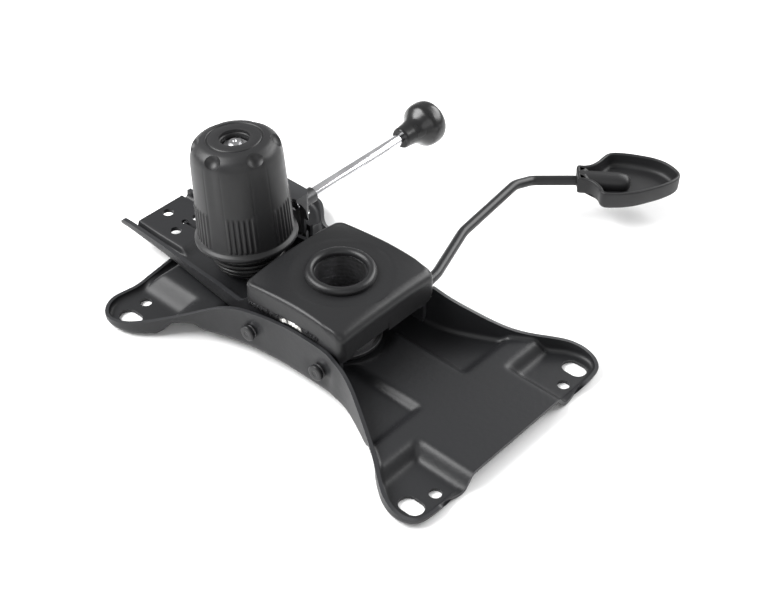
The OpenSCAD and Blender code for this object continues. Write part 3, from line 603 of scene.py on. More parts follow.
def plate_sheet(s):
    """The pressed seat plate with its flange, one sheet."""
    half = np.array(HALF_OUTLINE, float)
    full = np.vstack([half, (half * (1, -1))[-2:0:-1]])
    loop = spline(full, 900, closed=True)
    n_side, n_end = 300, 110

    def piece(a, b, count):
        ia, ib = (np.argmin(np.hypot(*(loop - q).T)) for q in (a, b))
        last = ib if ib > ia else ib + len(loop)
        return spline(loop[np.arange(ia, last + 1) % len(loop)], count)

    far_side = piece(FRONT_CORNER, REAR_CORNER, n_side)
    rear = piece(REAR_CORNER, REAR_CORNER * (1, -1), n_end)
    near_side = far_side[::-1] * (1, -1)
    front = piece(FRONT_CORNER * (1, -1), FRONT_CORNER, n_end)
    outline = np.vstack([far_side[:-1], rear[:-1], near_side[:-1], front[:-1]])
    inward = inward_of(outline)
    height = pressed_height(s.press_soft)
    t, rb = s.plate_t, s.flange_r
    inner = outline + inward * (t + rb)
    total = len(outline)

    def side(i0, count):
        return inner[(i0 + np.arange(count)) % total]

    far_in = side(0, n_side)
    rear_in = side(n_side - 1, n_end)
    near_in = side(n_side + n_end - 2, n_side)[::-1]
    front_in = side(2 * n_side + n_end - 3, n_end)
    # Coons patch between the four inner curves
    u = np.linspace(0, 1, n_side)[:, None, None]
    v = np.linspace(0, 1, n_end)[None, :, None]
    near, far = near_in[:, None], far_in[:, None]
    fr, re = front_in[None], rear_in[::-1][None]
    patch = (
        (1 - v) * near + v * far + (1 - u) * fr + u * re
        - (1 - u) * (1 - v) * near_in[0] - u * (1 - v) * near_in[-1]
        - (1 - u) * v * far_in[0] - u * v * far_in[-1]
    )
    px, py = patch[..., 0], patch[..., 1]
    verts = list(np.stack([px, py, height(px, py)], -1).reshape(-1, 3))
    faces = grid_faces(n_side, n_end, flip=True)
    # index of each rim point in the patch, in outline order
    ids = np.arange(n_side * n_end).reshape(n_side, n_end)
    rim = np.concatenate([ids[:-1, -1], ids[-1, ::-1][:-1], ids[::-1, 0][:-1], ids[0, :-1]])
    base_z = height(inner[:, 0], inner[:, 1])
    top = np.interp(outline[:, 0], *np.array(FLANGE_TOP, float).T)
    # the flange's height is averaged over 21 points
    top = np.convolve(np.concatenate([top[-10:], top, top[:10]]), np.ones(21) / 21, "valid")
    # no flange along the rear edge
    on_rear = outline[:, 0] > 110
    fold = np.where(on_rear, smoothstep((np.abs(outline[:, 1]) - 40) / 18), 1.0)
    # steps of the skin: out and up along the bend, then a share of the flange
    bend = np.linspace(0, np.pi / 2, 7)[1:]
    rows = [(rb * math.sin(a), rb * (1 - math.cos(a)), 0.0) for a in bend]
    rows += [(rb, rb, f) for f in np.linspace(0, 1, 15)[1:]]
    prev = rim
    for k_row, (out, up, f) in enumerate(rows):
        rise = np.minimum(up, np.maximum(0.3, top - base_z) * (up / rb))
        z = base_z + rise + f * np.maximum(0.05, top - base_z - rb)
        flat = (k_row + 1) / len(rows) * (t + rb)
        reach = fold * out + (1 - fold) * flat
        z = fold * z + (1 - fold) * base_z
        sink = np.zeros(total)
        for at, depth in ((PIVOT, 0.9), (STOP, 0.45)):
            gap = np.hypot(outline[:, 0] - at[0], z - at[1])
            sink += depth * np.exp(-((gap / 8.5) ** 4))
        xy = inner - inward * (reach - sink * (out > 0.9 * rb))[:, None]
        now = np.arange(len(verts), len(verts) + total)
        verts.extend(np.column_stack([xy, z]))
        faces += zip(prev, now, np.roll(now, -1), np.roll(prev, -1))
        prev = now
    obj = mesh_object("seat_plate_sheet", verts, faces)
    face_outward(obj, (80, 0, FIELD_Z))
    solidify(obj, t)
    cutters = [round_cutter(-74.5, 0, 3, 14, 6.0), round_cutter(-94, 0, 3, 14, 3.0)]
    for sx in (-1, 1):
        for sy in (-1, 1):
            for (x, y), *r in ((SLOT_AT, SLOT_R, SLOT_HALF), (HOLE_AT, HOLE_R)):
                cutters.append(round_cutter(sx * x, sy * y, -4, 9, *r))
    cutters.append(prism(LEVER_NOTCH, 30, 46, axis=1))
    cut(obj, cutters)
    return obj


class MECH_OT_plate(bpy.types.Operator):
    """Builds the pressed seat plate"""

    bl_idname = "mech.plate"
    bl_label = "Seat plate"

    def execute(self, context):
        obj = plate_sheet(context.scene.mech_sizes)
        finish_piece(obj, "seat_frame", "coated_steel", "coat", 42, "seat_plate")
        return {"FINISHED"}


def rivet(at, face, side):
    """One rivet: a shank and a domed head with a dimple."""
    out = face + 1.0
    profile = rounded_profile(
        [(0, 29.5), (3, 29.5), (3, out), (4.5, out), (4.5, out + 1.9), (3.9, out + 2.3),
         (1.7, out + 2.35), (1.4, out + 2.15), (0, out + 2.2)],
        [0, 0.4, 0, 0.3, 0.6, 0.5, 0.2, 0.2, 0],
        4,
    )
    return turned("rivet", profile, 48, placed((at[0], 0, at[1]), -90 * side, "X"))


class MECH_OT_rivets(bpy.types.Operator):
    """Builds the pivot and stop rivets"""

    bl_idname = "mech.rivets"
    bl_label = "Rivets"

    def execute(self, context):
        for name, at, face, node in (
            ("pivot_rivet_pair", PIVOT, PIVOT_FACE, "pivot_rivets"),
            ("stop_rivet_pair", STOP, STOP_FACE, "stop_rivets"),
        ):
            obj = join([rivet(at, face, side) for side in (-1, 1)], name)
            finish_piece(obj, "seat_frame", "coated_steel", "rod", 50, node)
        return {"FINISHED"}


# Arm.

ARM_SIDE = [
    (-160, 23.2), (-150, 23.4), (-133, 24.5), (-122, 25.2), (-107, 26.6),
    (-97, 27.7), (-81, 29.6), (-72, 30.5), (-60, 32), (-47, 33.4),
    (-41, 34), (25, 34),
]
WALL_TOP = [
    (-160, 17.2), (-153, 17.2), (-146, 17.6), (-133, 18.2), (-117, 18.8),
    (-97, 19.6), (-84, 20.8), (-72, 22), (-50, 23), (-45, 27),
    (-41.6, 31.2), (-38, 31.2), (-37.8, 36.2), (20, 36.2), (25, 33),
]
ARM_FLOOR, ARM_BEND = 13.0, 2.6
# The raised platform: its rise, where its ramp starts and how long that is,
# and its half width above and at the foot.
RISE, RISE_X, RISE_RUN, RISE_TOP, RISE_FOOT = 3.0, -113.5, 7.5, 16.6, 19.2
# Middle of each hole, its radius, and half the slot's straight part.
ARM_HOLES = [
    (-143, 0, 3.25), (-127, 8.5, 3.25), (-127, -8.5, 3.25),
    (-129.5, 0.6, 2.0), (-122.5, 0.5, 0.8, 6.5), (-75, 0, 6.0),
]
TIP_X, TIP_Z, TIP_R = -154.6, 13.8, 3.4
# Boxes cut away: the floor's opening at the socket, the far wall's end, and the
# way out for the gas lever.
FLOOR_MOUTH = (1, -31.4, 0), (40, 31.4, 20)
FAR_END = (-170, -19.6, 0), (-149.5, 40, 40)
LEVER_WAY = (14.6, 25, 23.6), (22.4, 40, 31.8)


def arm_sheet(s):
    """The arm: floor with its raised platform, and both walls, one sheet."""
    xs = np.concatenate([np.linspace(-158, -104, 60), np.linspace(-103, 25, 70)])
    half = np.interp(xs, *np.array(ARM_SIDE, float).T)
    tops = np.interp(xs, *np.array(WALL_TOP, float).T)
    rb = ARM_BEND
    rows = []
    for x, yo, top in zip(xs, half, tops):
        yi = yo - s.arm_t
        lift = RISE * (1 - smoothstep((x - RISE_X) / RISE_RUN))
        sec = [(yi, z) for z in np.linspace(top, ARM_FLOOR + rb, 9)]
        for a in np.linspace(0, np.pi / 2, 7)[1:]:
            sec.append((yi - rb + rb * math.cos(a), ARM_FLOOR + rb - rb * math.sin(a)))
        edge = yi - rb
        if edge > RISE_FOOT + 0.4:
            start = RISE_FOOT
            sec += [(q, ARM_FLOOR) for q in np.linspace(edge, RISE_FOOT + 0.2, 4)[1:]]
        else:
            start = edge - 0.2
            sec += [(edge - 0.05 * k, ARM_FLOOR) for k in (1, 2, 3)]
        for q in np.linspace(start, RISE_TOP, 9)[1:]:
            share = smoothstep((start - q) / (start - RISE_TOP))
            sec.append((q, ARM_FLOOR + lift * share))
        sec += [(q, ARM_FLOOR + lift) for q in np.linspace(RISE_TOP, 0, 9)[1:]]
        line = [(-y, z) for y, z in sec[:-1]] + sec[::-1]
        rows.append([(x, y, z) for y, z in line])
    rings = np.array(rows)
    obj = mesh_object("arm_sheet", rings.reshape(-1, 3), grid_faces(*rings.shape[:2]))
    face_outward(obj, (-130, 0, 16))
    solidify(obj, s.arm_t)
    cutters = [round_cutter(x, y, 5, 30, *r) for x, y, *r in ARM_HOLES]
    cut(obj, cutters + [block(*FLOOR_MOUTH)])
    # the far wall and the platform end before the near wall does
    cut(obj, [block(*FAR_END)])
    # rounded tip of the near wall, seen from the side
    turn = np.radians(np.linspace(270, 90, 13))
    tip = [(TIP_X + TIP_R * math.cos(q), TIP_Z + TIP_R * math.sin(q)) for q in turn]
    cut(obj, [prism([(-170, 0), (TIP_X, 0), *tip, (TIP_X, 40), (-170, 40)], -40, -10, axis=1)])
    # notches over the stop rivets
    x, z = STOP
    notches = [block((x - 3.4, y, 0), (x + 3.4, y + 15, z + 1.5)) for y in (-40, 25)]
    cut(obj, [block(*LEVER_WAY), *notches])
    return obj


class MECH_OT_arm(bpy.types.Operator):
    """Builds the arm channel"""

    bl_idname = "mech.arm"
    bl_label = "Arm"

    def execute(self, context):
        obj = arm_sheet(context.scene.mech_sizes)
        finish_piece(obj, "arm", "coated_steel", "coat", 42, "arm_channel")
        return {"FINISHED"}


# Cover and socket.

COVER_X, COVER_HALF = (-41.0, 28.5), 36.8
COVER_TOP, COVER_DROP, BOSS_Z = 47.6, 4.9, 46.9
BOSS_R, CORNER_R = 25.6, 4.0
SKIRT_Z, REAR_SKIRT_Z = 31.4, 27.6
# Between these the cover has its full height along X.
FLAT_X = (-1.5, 1.0)
# The slit in the cover's rear wall, and the socket's window with its turn.
SLIT = (20, -0.55, 10), (40, -0.05, 33.2)
WINDOW, WINDOW_TURN = ((0, -7.5, 8.2), (40, 7.5, 18.4)), 53
# The socket's mouth in the cover, and radii of the rings up to the flat's edge.
MOUTH = (17.45, 19, 22, 25.2, 26, 27, 28, 29, 30)


def rounded_rect(a, b, r, count):
    """Points of a rounded rectangle, evenly turned about its centre."""
    ray, half = around(count), np.array([a, b])
    p = ray * (half / np.maximum(np.abs(ray), 1e-9)).min(1)[:, None]
    # near the corners the rays end on the corner's arc
    middle = np.copysign(half - r, p)
    near = (middle * ray).sum(1)
    far = near + np.sqrt(np.maximum(0, near**2 - (middle**2).sum(1) + r * r))
    in_corner = (np.abs(p) > half - r).all(1)
    return np.where(in_corner[:, None], ray * far[:, None], p)


def cover_height(p):
    """The arched top: flat round the socket, lower towards both ends."""
    x, y = p[:, 0], p[:, 1]
    front = np.maximum(0, FLAT_X[0] - x) / (FLAT_X[0] - COVER_X[0])
    rear = np.maximum(0, x - FLAT_X[1]) / (COVER_X[1] - FLAT_X[1])
    drop = COVER_DROP * front**1.5 + 0.65 * COVER_DROP * rear**1.8
    arch = COVER_TOP - drop * (0.26 + 0.74 * (np.abs(y) / COVER_HALF) ** 2.6)
    k = smoothstep((np.hypot(x - SOCKET_X, y) - BOSS_R) / 4.0)
    return BOSS_Z * (1 - k) + arch * k


def cover_skin(s, d, count):
    """Rings of the cover's skin, moved in by d, from the socket to the skirts."""
    ring = around(count)
    socket = np.array([SOCKET_X, 0.0])
    middle = np.array([(COVER_X[0] + COVER_X[1]) / 2, 0.0])
    a, b = (COVER_X[1] - COVER_X[0]) / 2, COVER_HALF
    edge = rounded_rect(a, b, CORNER_R, count) + middle
    tight, soft = max(0.6, s.cover_r - d), max(0.6, s.cover_soft - d)
    plan = rounded_rect(a - d, b - d, max(1.0, CORNER_R - d), count)
    back = np.where(plan[:, 0] > 0, soft, tight)
    inset = plan * np.column_stack(
        [(a - d - back) / (a - d), np.full(count, (b - d - tight) / (b - d))]
    )
    plan, inset = plan + middle, inset + middle
    flat_edge = socket + ring * MOUTH[-1]
    top = [socket + ring * q for q in MOUTH]
    top += [flat_edge * (1 - f) + inset * f for f in np.linspace(0, 1, 16)[1:]]
    rings = [np.column_stack([p, cover_height(p) - d]) for p in top]
    edge_z = cover_height(inset) - d
    r = tight + (soft - tight) * np.clip((edge[:, 0] - COVER_X[1] + 13) / 8, 0, 1)
    for ang in np.linspace(0, np.pi / 2, 11)[1:]:
        p = inset + (plan - inset) * math.sin(ang)
        rings.append(np.column_stack([p, edge_z - r * (1 - math.cos(ang))]))
    top = rings[-1][:, 2]
    rear = smoothstep((edge[:, 0] - (COVER_X[1] - CORNER_R)) / 3.0)
    near = 1 - smoothstep((edge[:, 1] - 31) / 4)
    low = SKIRT_Z - (SKIRT_Z - REAR_SKIRT_Z) * rear * near
    bite = (edge[:, 0] > COVER_X[1] - 1) & (edge[:, 1] < -0.3) & (edge[:, 1] > -28)
    low = low + np.where(bite, 2.2 * smoothstep((edge[:, 1] + 28) / 3.5), 0)
    for f in np.linspace(0, 1, 7)[1:]:
        rings.append(np.column_stack([plan, top + (low + 0.3 - top) * f]))
    # the sheet's edge is softened on both faces
    side = -0.3 if d == 0 else 0.3
    rings.append(np.column_stack([plan + (plan - middle) / a * side, low]))
    return rings


def cover_shell(s):
    """The arched cover with its uneven skirts, and the slit in its rear wall."""
    count = 432
    rings = cover_skin(s, 0, count) + cover_skin(s, s.cover_t, count)[::-1]
    obj = ringed("cover_shell", np.array(rings), closed=True)
    cut(obj, [block(*SLIT)])
    return obj


class MECH_OT_cover(bpy.types.Operator):
    """Builds the domed cover"""

    bl_idname = "mech.cover"
    bl_label = "Cover"

    def execute(self, context):
        obj = cover_shell(context.scene.mech_sizes)
        finish_piece(obj, "arm", "coated_steel", "cover", 42, "column_housing")
        return {"FINISHED"}


class MECH_OT_socket(bpy.types.Operator):
    """Builds the socket tube with its turned bore, the foot collar and the rolled lip"""

    bl_idname = "mech.socket"
    bl_label = "Column socket"

    def execute(self, context):
        bore = context.scene.mech_sizes.bore_r
        place = Matrix.Translation((SOCKET_X, 0, 0))
        profile = [
            (bore - 1.5, 5.2), (bore + 5.2, 5.2), (bore + 6, 6.2), (bore + 6, 42.8),
            (bore + 5.4, 43), (bore + 3.4, 43), (bore + 3.4, 46.9), (bore, 46.9),
        ]
        # shallow turned rings down the bore
        for z in np.arange(46.0, 20.5, -2.6):
            profile += [(bore, z), (bore + 0.12, z - 0.7), (bore + 0.12, z - 1.3), (bore, z - 2)]
        profile += [(bore, 19.2), (bore - 1.5, 18.8), (bore - 1.5, 5.2)]
        tube = turned("socket_tube_turned", profile, 96, place, closed=True)
        window = block(*WINDOW)
        window.matrix_world = placed((SOCKET_X * MM, 0, 0), WINDOW_TURN, "Z")
        bpy.context.view_layer.update()
        cut(tube, [window])
        finish_piece(tube, "arm", "zinc_steel", "tube", 30, "socket_tube")
        foot = [(20.05, 5.2), (22.6, 5.2), (22.6, 7.6), (20.05, 7.6)]
        foot = rounded_profile(foot, [0, 0.5, 0.5, 0], 4)
        collar = turned("socket_collar", foot, 128, place, closed=True)
        finish_piece(collar, "arm", "zinc_steel", "collar", 40)
        turn = np.radians(np.linspace(-28, 208, 26))
        roll = np.column_stack([16.6 + 2.6 * np.cos(turn), 48.2 + 2.6 * np.sin(turn)])
        lip = [(17.4, 46.95), *roll, (15, 46.95)]
        ring = turned("socket_lip_ring", lip, 128, place, closed=True)
        finish_piece(ring, "arm", "coated_steel", "cover", 50, "socket_lip")
        return {"FINISHED"}


# Ends of the weld seam along X, the step from bead to bead, and its ripple.
WELD_X, WELD_STEP, RIPPLE = (-37, 12), 0.55, 2.4


class MECH_OT_welds(bpy.types.Operator):
    """Builds the rippled weld seams along the skirts"""

    bl_idname = "mech.welds"
    bl_label = "Weld beads"

    def execute(self, context):
        rng = np.random.default_rng(7)
        beads = []
        flange = np.array(FLANGE_TOP, float).T
        inner, outer = (COVER_HALF - 0.05) * MM, (COVER_HALF + 1.35) * MM
        for side in (-1, 1):
            for x in np.arange(*WELD_X, WELD_STEP):
                swell = math.sin(2 * math.pi * x / RIPPLE) + 0.8 * math.sin(x / 2.9)
                r = 1.15 + 0.16 * swell + 0.3 * rng.random()
                y = side * (COVER_HALF - 0.1 - 0.4 * rng.random())
                z = np.interp(x, *flange) + 2.1 + 0.5 * rng.random()
                bm = bmesh.new()
                bmesh.ops.create_icosphere(bm, subdivisions=2, radius=r * MM)
                for v in bm.verts:
                    v.co.x *= 0.62
                    v.co += v.normal * (rng.random() - 0.5) * 0.00018
                    v.co += Vector((x * MM, y * MM, z * MM))
                    v.co.y = side * max(inner, min(outer, side * v.co.y))
                beads.append(from_bmesh("bead", bm))
        obj = join(beads, "weld_bead_runs")
        finish_piece(obj, "arm", "weld_metal", "weld", 60, "weld_beads")
        return {"FINISHED"}


# Knob and spring.

KNOB_AT, KNOB_LEAN, KNOB_TURN = (-76.9, 0, 36.4), 5.1, -46.0
# Groups of ribs and the degrees of each, degrees from rib to rib, where the ribs
# start and end, and the scallops' place.
GROUPS, GROUP, RIB_STEP, RIB_Z = 6, 60, 6.2, (3.3, 25.2)
SCALLOP_AT, SCALLOP_R = 24.8, 6.0
# Degrees across a shallow flute, and from its middle to the line beside it.
FLUTE_WIDTH, FLUTE_LINE = 7.5, 11.5
THREAD_PITCH = 1.25
# The spring cup's section, ringed on the outside.
CUP = [
    (6, -19.5), (16.2, -19.5), (17.2, -19.0), (18.7, -17.0), (18.9, -16.3), (18.0, -15.8),
    (18.2, -15.2), (20.1, -14.2), (20.3, -13.3), (19.4, -12.5), (19.6, -11.9), (21.2, -10.7),
    (21.5, -9.8), (20.7, -8.9), (20.9, -8.3), (22.0, -7.0), (22.1, -6.1), (21.6, -5.4),
    (22.4, -4.8), (22.4, -3.6), (21.2, -3.6), (20, -8), (15.4, -16.9), (6, -16.9),
]
COIL_R, WIRE_R, COIL_Z, COIL_TURNS = 12.6, 1.9, (-16.9, 40), 7
BOLT_R, THREAD_R, BOLT_HEAD_Z = 4.0, 3.55, -33.13


def on_bolt_line():
    """The leaning line of the tension bolt, zero at the rim, in millimetres."""
    return placed(KNOB_AT, -KNOB_LEAN, "Y")


def knob_rings(s):
    """The knob's profile: the outside in fine steps, then the top and the inside."""
    h = s.knob_h
    outer = rounded_profile(
        [(24.6, -1.6), (27.8, -1.6), (28.6, -0.6), (28.6, 1.0), (27.4, 2.0), (26.5, 2.8),
         (25.2, h - 11.2), (24.5, h - 6.4), (22.8, h - 3.2), (19.3, h - 0.9), (16.8, h - 0.3)],
        [0, 0.6, 0.8, 0.8, 0.8, 0.6, 5, 3, 3, 2.5, 0],
        6,
    )
    fine = [outer[0]]
    for p, q in zip(outer[:-1], outer[1:]):
        n = max(1, int(np.linalg.norm(q - p) / 0.8))
        fine += [p + (q - p) * k / n for k in range(1, n + 1)]
    top = [
        (15.9, h - 0.1), (15.5, h - 0.2), (15.2, h - 0.7), (14.7, h - 0.7),
        (14.4, h - 0.2), (14.0, h), (9.0, h), (8.4, h - 0.2), (8.2, h - 0.8),
        (8.2, h - 1.9), (7.8, h - 2.1), (7.6, h - 2.5), (7.6, h - 5.2),
    ]
    inside = [
        (7.6, 47.9), (5.2, 47.9), (5.2, 43.0), (22.4, 43.0),
        (22.6, 40), (24.6, 14), (24.6, -1.0),
    ]
    return fine, top + inside


class MECH_OT_knob(bpy.types.Operator):
    """Builds the fluted tension knob"""

    bl_idname = "mech.knob"
    bl_label = "Tension knob"

    def execute(self, context):
        s = context.scene.mech_sizes
        fine, rest = knob_rings(s)
        count = 540
        ray, deg = around(count), np.degrees(full_turn(count))

        def ring(r, z):
            return np.column_stack([ray * np.reshape(r, (-1, 1)), np.full(count, z)])

        # degrees from the middle of a rib group, and from the nearest rib
        part = (deg - KNOB_TURN + GROUP / 2) % GROUP - GROUP / 2
        rib = part - RIB_STEP * np.clip(np.round(part / RIB_STEP - 0.5) + 0.5, -2.5, 2.5)
        # degrees from the flute between two groups, and from the thin line beside it
        flute = (deg - KNOB_TURN) % GROUP - GROUP / 2
        line = np.abs(flute) - FLUTE_LINE
        rings = []
        for r, z in fine:
            arc = math.radians(r)
            ends = smoothstep((z - RIB_Z[0]) / 0.7) * smoothstep((RIB_Z[1] - z) / 0.8)
            rr = r + s.rib_h * ends * (1 - smoothstep((np.abs(rib) * arc - 0.35) / 0.6))
            depth = 0.5 * smoothstep((z - 6) / 30) * (1 - smoothstep((z - 55) / 4))
            rr = rr - depth * np.exp(-((flute / FLUTE_WIDTH) ** 2))
            depth = 0.1 * smoothstep((z - 4) / 2) * (1 - smoothstep((z - 50) / 4))
            rings.append(ring(rr - depth * np.exp(-((line * arc / 0.5) ** 2)), z))
        rings += [ring(r, z) for r, z in rest]
        obj = ringed("knob_moulding", np.array(rings), on_bolt_line(), closed=True)
        # round scallops at the shoulder, between the rib groups
        scallops = []
        for g in range(GROUPS):
            a = math.radians(KNOB_TURN + GROUP / 2 + GROUP * g)
            x, y = SCALLOP_AT * math.cos(a), SCALLOP_AT * math.sin(a)
            at = on_bolt_line() @ Vector((x, y, s.knob_h - 0.8))
            bm = bmesh.new()
            bmesh.ops.create_uvsphere(bm, u_segments=64, v_segments=40, radius=SCALLOP_R * MM)
            bmesh.ops.translate(bm, verts=bm.verts, vec=at * MM)
            scallops.append(from_bmesh("scallop", bm))
        cut(obj, scallops)
        finish_piece(obj, "knob", "black_plastic", "plastic", 48, "knob_shell")
        return {"FINISHED"}


class MECH_OT_spring(bpy.types.Operator):
    """Builds the ringed spring cup, the tension bolt and the spring"""

    bl_idname = "mech.spring"
    bl_label = "Spring and cup"

    def execute(self, context):
        line = on_bolt_line()
        cup = rounded_profile(CUP, [0.4] * len(CUP), 3)
        obj = turned("spring_cup_ringed", cup, 128, line, closed=True)
        finish_piece(obj, "arm", "black_plastic", "cup", 60, "spring_cup")
        # bolt: shank, fine thread rings, a chamfered end and a cross head below
        prof = [(0, -33.1), (BOLT_R, -33.1), (BOLT_R, 30)]
        for z in np.arange(30.0, 56.8, THREAD_PITCH):
            prof += [(BOLT_R, z + 0.1), (THREAD_R, z + 0.6), (BOLT_R, z + 1.15)]
        prof += [(3.9, 57.5), (3.2, 58.4), (1.2, 58.4), (0.6, 57.8), (0, 57.7)]
        bolt = turned("tension_bolt_threaded", prof, 48, line)
        across = placed((0, 0, BOLT_HEAD_Z), 90, "X")
        head = turned("head", bar(2.9, -9, 9, 0.5), 32, line @ across)
        bolt = join([bolt, head], "tension_bolt_threaded")
        finish_piece(bolt, "bolt", "zinc_steel", "zinc", 35, "tension_bolt")
        a = np.linspace(0, 2 * np.pi * COIL_TURNS, COIL_TURNS * 28 + 1)
        low, high = COIL_Z[0] + WIRE_R, COIL_Z[1] - WIRE_R
        climb = low + (high - low) * a / a[-1]
        path = np.stack([COIL_R * np.cos(a), COIL_R * np.sin(a), climb], 1)
        m = np.array(line)
        coil = swept("tension_spring_coil", path @ m[:3, :3].T + m[:3, 3], WIRE_R, 12)
        finish_piece(coil, "spring_seat", "spring_steel", "spring", 40, "tension_spring")
        return {"FINISHED"}


# Levers.

LOCK_X, LOCK_Z, LOCK_REACH = -70.0, 41.4, 120.0
ROD_ENDS = (30.6, 131.9)
LOCK_KNOB = [
    (3.5, 0), (5.8, 0), (6.4, 0.9), (6.8, 5), (7.3, 8.5), (8.6, 12), (11.0, 15.2),
    (12.6, 17.2), (13.3, 19.2), (13.5, 21.6), (13.4, 24.4), (12.6, 27.0),
    (10.6, 29.0), (7.4, 30.3), (3.6, 30.9), (0, 31),
]


class MECH_OT_lock(bpy.types.Operator):
    """Builds the lock rod and its mushroom knob"""

    bl_idname = "mech.lock"
    bl_label = "Lock lever"

    def execute(self, context):
        s = context.scene.mech_sizes
        place = placed((LOCK_X, 0, LOCK_Z), -90, "X")
        rod = turned("lock_rod_polished", bar(s.rod_r, *ROD_ENDS, 0.6), 64, place)
        finish_piece(rod, "lock_lever", "chrome_rod", "chrome", 40, "lock_rod")
        profile = [*LOCK_KNOB[:2], *spline(LOCK_KNOB[2:], 60)]
        out = place @ Matrix.Translation((0, 0, LOCK_REACH))
        knob = turned("lock_knob_moulding", profile, 96, out)
        finish_piece(knob, "lock_lever", "gloss_black_plastic", "gloss", 50, "lock_rod_knob")
        return {"FINISHED"}


GAS_PATH = [
    (-7, -2, 11.8), (-0.5, 10.6, 11.9), (6.4, 16.6, 13.4),
    (16.6, 25.6, 25.6), (18.9, 31, 27.8), (16.3, 52.4, 27.3),
    (4, 89.8, 28.2), (-4.9, 148.3, 25), (-3.3, 162.9, 21.3),
    (15.1, 180.2, 21.3), (29.8, 191.2, 21.3),
]
NECK, NECK_TURN = (17.4, 181.7, 17.0), 36.9
TRAY_MIDDLE, TRAY_FLOOR = np.array([32.0, 1.5]), 2.6
LEAF = [
    (-1, -7), (3.5, -7.3), (7.4, -9.3), (10.8, -14), (12.4, -18.6),
    (14.6, -20.4), (22, -20.3), (32, -17.8), (40, -14), (50, -8),
    (56, -3), (59.2, 1.6), (59.2, 6.3), (53.4, 14.6), (46.3, 19),
    (36.3, 21.6), (27.5, 22.8), (20.5, 22.6), (17, 21), (14.3, 17.8),
    (10.8, 12.6), (6.7, 8.8), (3, 7.4), (-1, 7),
]


def bent_path(points, cut_back, steps):
    """The path of a rod with its bends rounded."""
    p = [np.array(q, float) for q in points]
    out = [p[0]]
    for i in range(1, len(p) - 1):
        a, b, c = p[i - 1 : i + 2]
        start, end = (b + (q - b) / np.linalg.norm(q - b) * cut_back for q in (a, c))
        out += corner(start, b, end, steps)
    out.append(p[-1])
    return np.array(out)


class MECH_OT_gas(bpy.types.Operator):
    """Builds the bent gas lever rod and its paddle"""

    bl_idname = "mech.gas"
    bl_label = "Gas lever"

    def execute(self, context):
        s = context.scene.mech_sizes
        rod = swept("gas_rod_bent", bent_path(GAS_PATH, 3.4, 9), s.gas_rod_r, 28)
        finish_piece(rod, "gas_lever", "coated_steel", "rod", 60, "gas_lever_rod")
        count = 220
        leaf = spline(LEAF + [LEAF[0]], count + 1)[:-1]
        inward = -inward_of(leaf)
        h = s.paddle_h
        # inset and height: the underside, over the rim, and the tray's inside
        outside = [
            (5.0, 0.0), (2.2, 0.0), (1.2, 0.25), (0.6, 0.8), (0.25, 2.0), (0.1, 5.0),
            (0.0, h - 1.2), (0.15, h - 0.5), (0.6, h - 0.1), (1.1, h),
        ]
        inside = [
            (1.6, h - 0.1), (2.05, h - 0.5), (2.2, h - 1.2), (2.5, 6.0),
            (2.9, 4.4), (3.8, 3.1), (5.2, 2.65),
        ]
        # near the neck the tray's floor runs out level with the rim
        neck_end = 1 - smoothstep((leaf[:, 0] - 1.0) / 6.0)
        rings = [np.column_stack([leaf + inward * d, np.full(count, z)]) for d, z in outside]
        for d, z in inside:
            rings.append(np.column_stack([leaf + inward * d, z + neck_end * (h - 0.4 - z)]))
        edge, edge_z = rings[-1][:, :2], rings[-1][:, 2]
        for f in (0.3, 0.6, 0.85):
            p = edge * (1 - f) + TRAY_MIDDLE * f
            z = edge_z * (1 - f) + TRAY_FLOOR * f
            most = TRAY_FLOOR + (1 - f) * 3 * (edge_z > 4)
            rings.append(np.column_stack([p, np.where(p[:, 0] > 8, np.minimum(z, most), z)]))
        place = placed(NECK, NECK_TURN, "Z")
        tray = ringed("tray", np.array(rings), place)
        hub = [(0, 0), (6.2, 0), (6.2, 25), (5.2, 29.2), (2.6, 31.2), (0, 31.6)]
        hub = rounded_profile(hub, [0, 0.6, 3, 3, 2, 0], 6)
        hub = turned("hub", hub, 64, place @ placed((-0.6, 0, 4.6), 90, "Y"))
        # the hub is cut off just above the tray's underside
        low = (NECK[2] + 0.02) * MM
        for v in hub.data.vertices:
            v.co.z = max(v.co.z, low)
        paddle = join([tray, hub], "paddle_moulding")
        finish_piece(paddle, "gas_lever", "black_plastic", "paddle", 44, "gas_lever_paddle")
        return {"FINISHED"}


# Carried nodes, each with its material and the width of its softened edges.

CARRIED = {
    "rivet_washers": ("zinc", 0.2),
    "pivot_bushes": ("cup", 0.2),
    "rest_bumper": ("rubber", 0.25),
    "bolt_anchor": ("zinc", 0.3),
    "seat_spacer": ("zinc", 0.4),
    "thrust_washer": ("zinc", 0.3),
    "knob_nut": ("zinc", 0.35),
    "lock_bracket": ("grey", 0.5),
    "lock_sleeve": ("sleeve", 0.3),
    "lock_tongue": ("sleeve", 0.3),
    "lock_keeper": ("coat", 0.4),
    "lever_cradle": ("coat", 0.3),
    "lever_pin": ("zinc", 0.2),
}


class MECH_OT_carried(bpy.types.Operator):
    """Gives the CAD pieces that stay their materials and softened edges"""

    bl_idname = "mech.carried"
    bl_label = "Carried pieces"

    def execute(self, context):
        for node, (mat, bevel) in CARRIED.items():
            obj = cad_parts[node]
            obj.data.materials.clear()
            obj.data.materials.append(MATERIALS[mat])
            for p in obj.data.polygons:
                p.material_index = 0
            modify(
                obj, "BEVEL", width=bevel * MM, segments=2, limit_method="ANGLE",
                angle_limit=math.radians(30), miter_outer="MITER_ARC",
            )
        return {"FINISHED"}


# Stage.

CAM_AT = (0.4186, -0.4520, 0.5575)
CAM_AZ, CAM_EL, CAM_ROLL, CAM_LENS = 40.89, 40.64, 1.22, 71.22
WORLD_LIGHT = 0.47
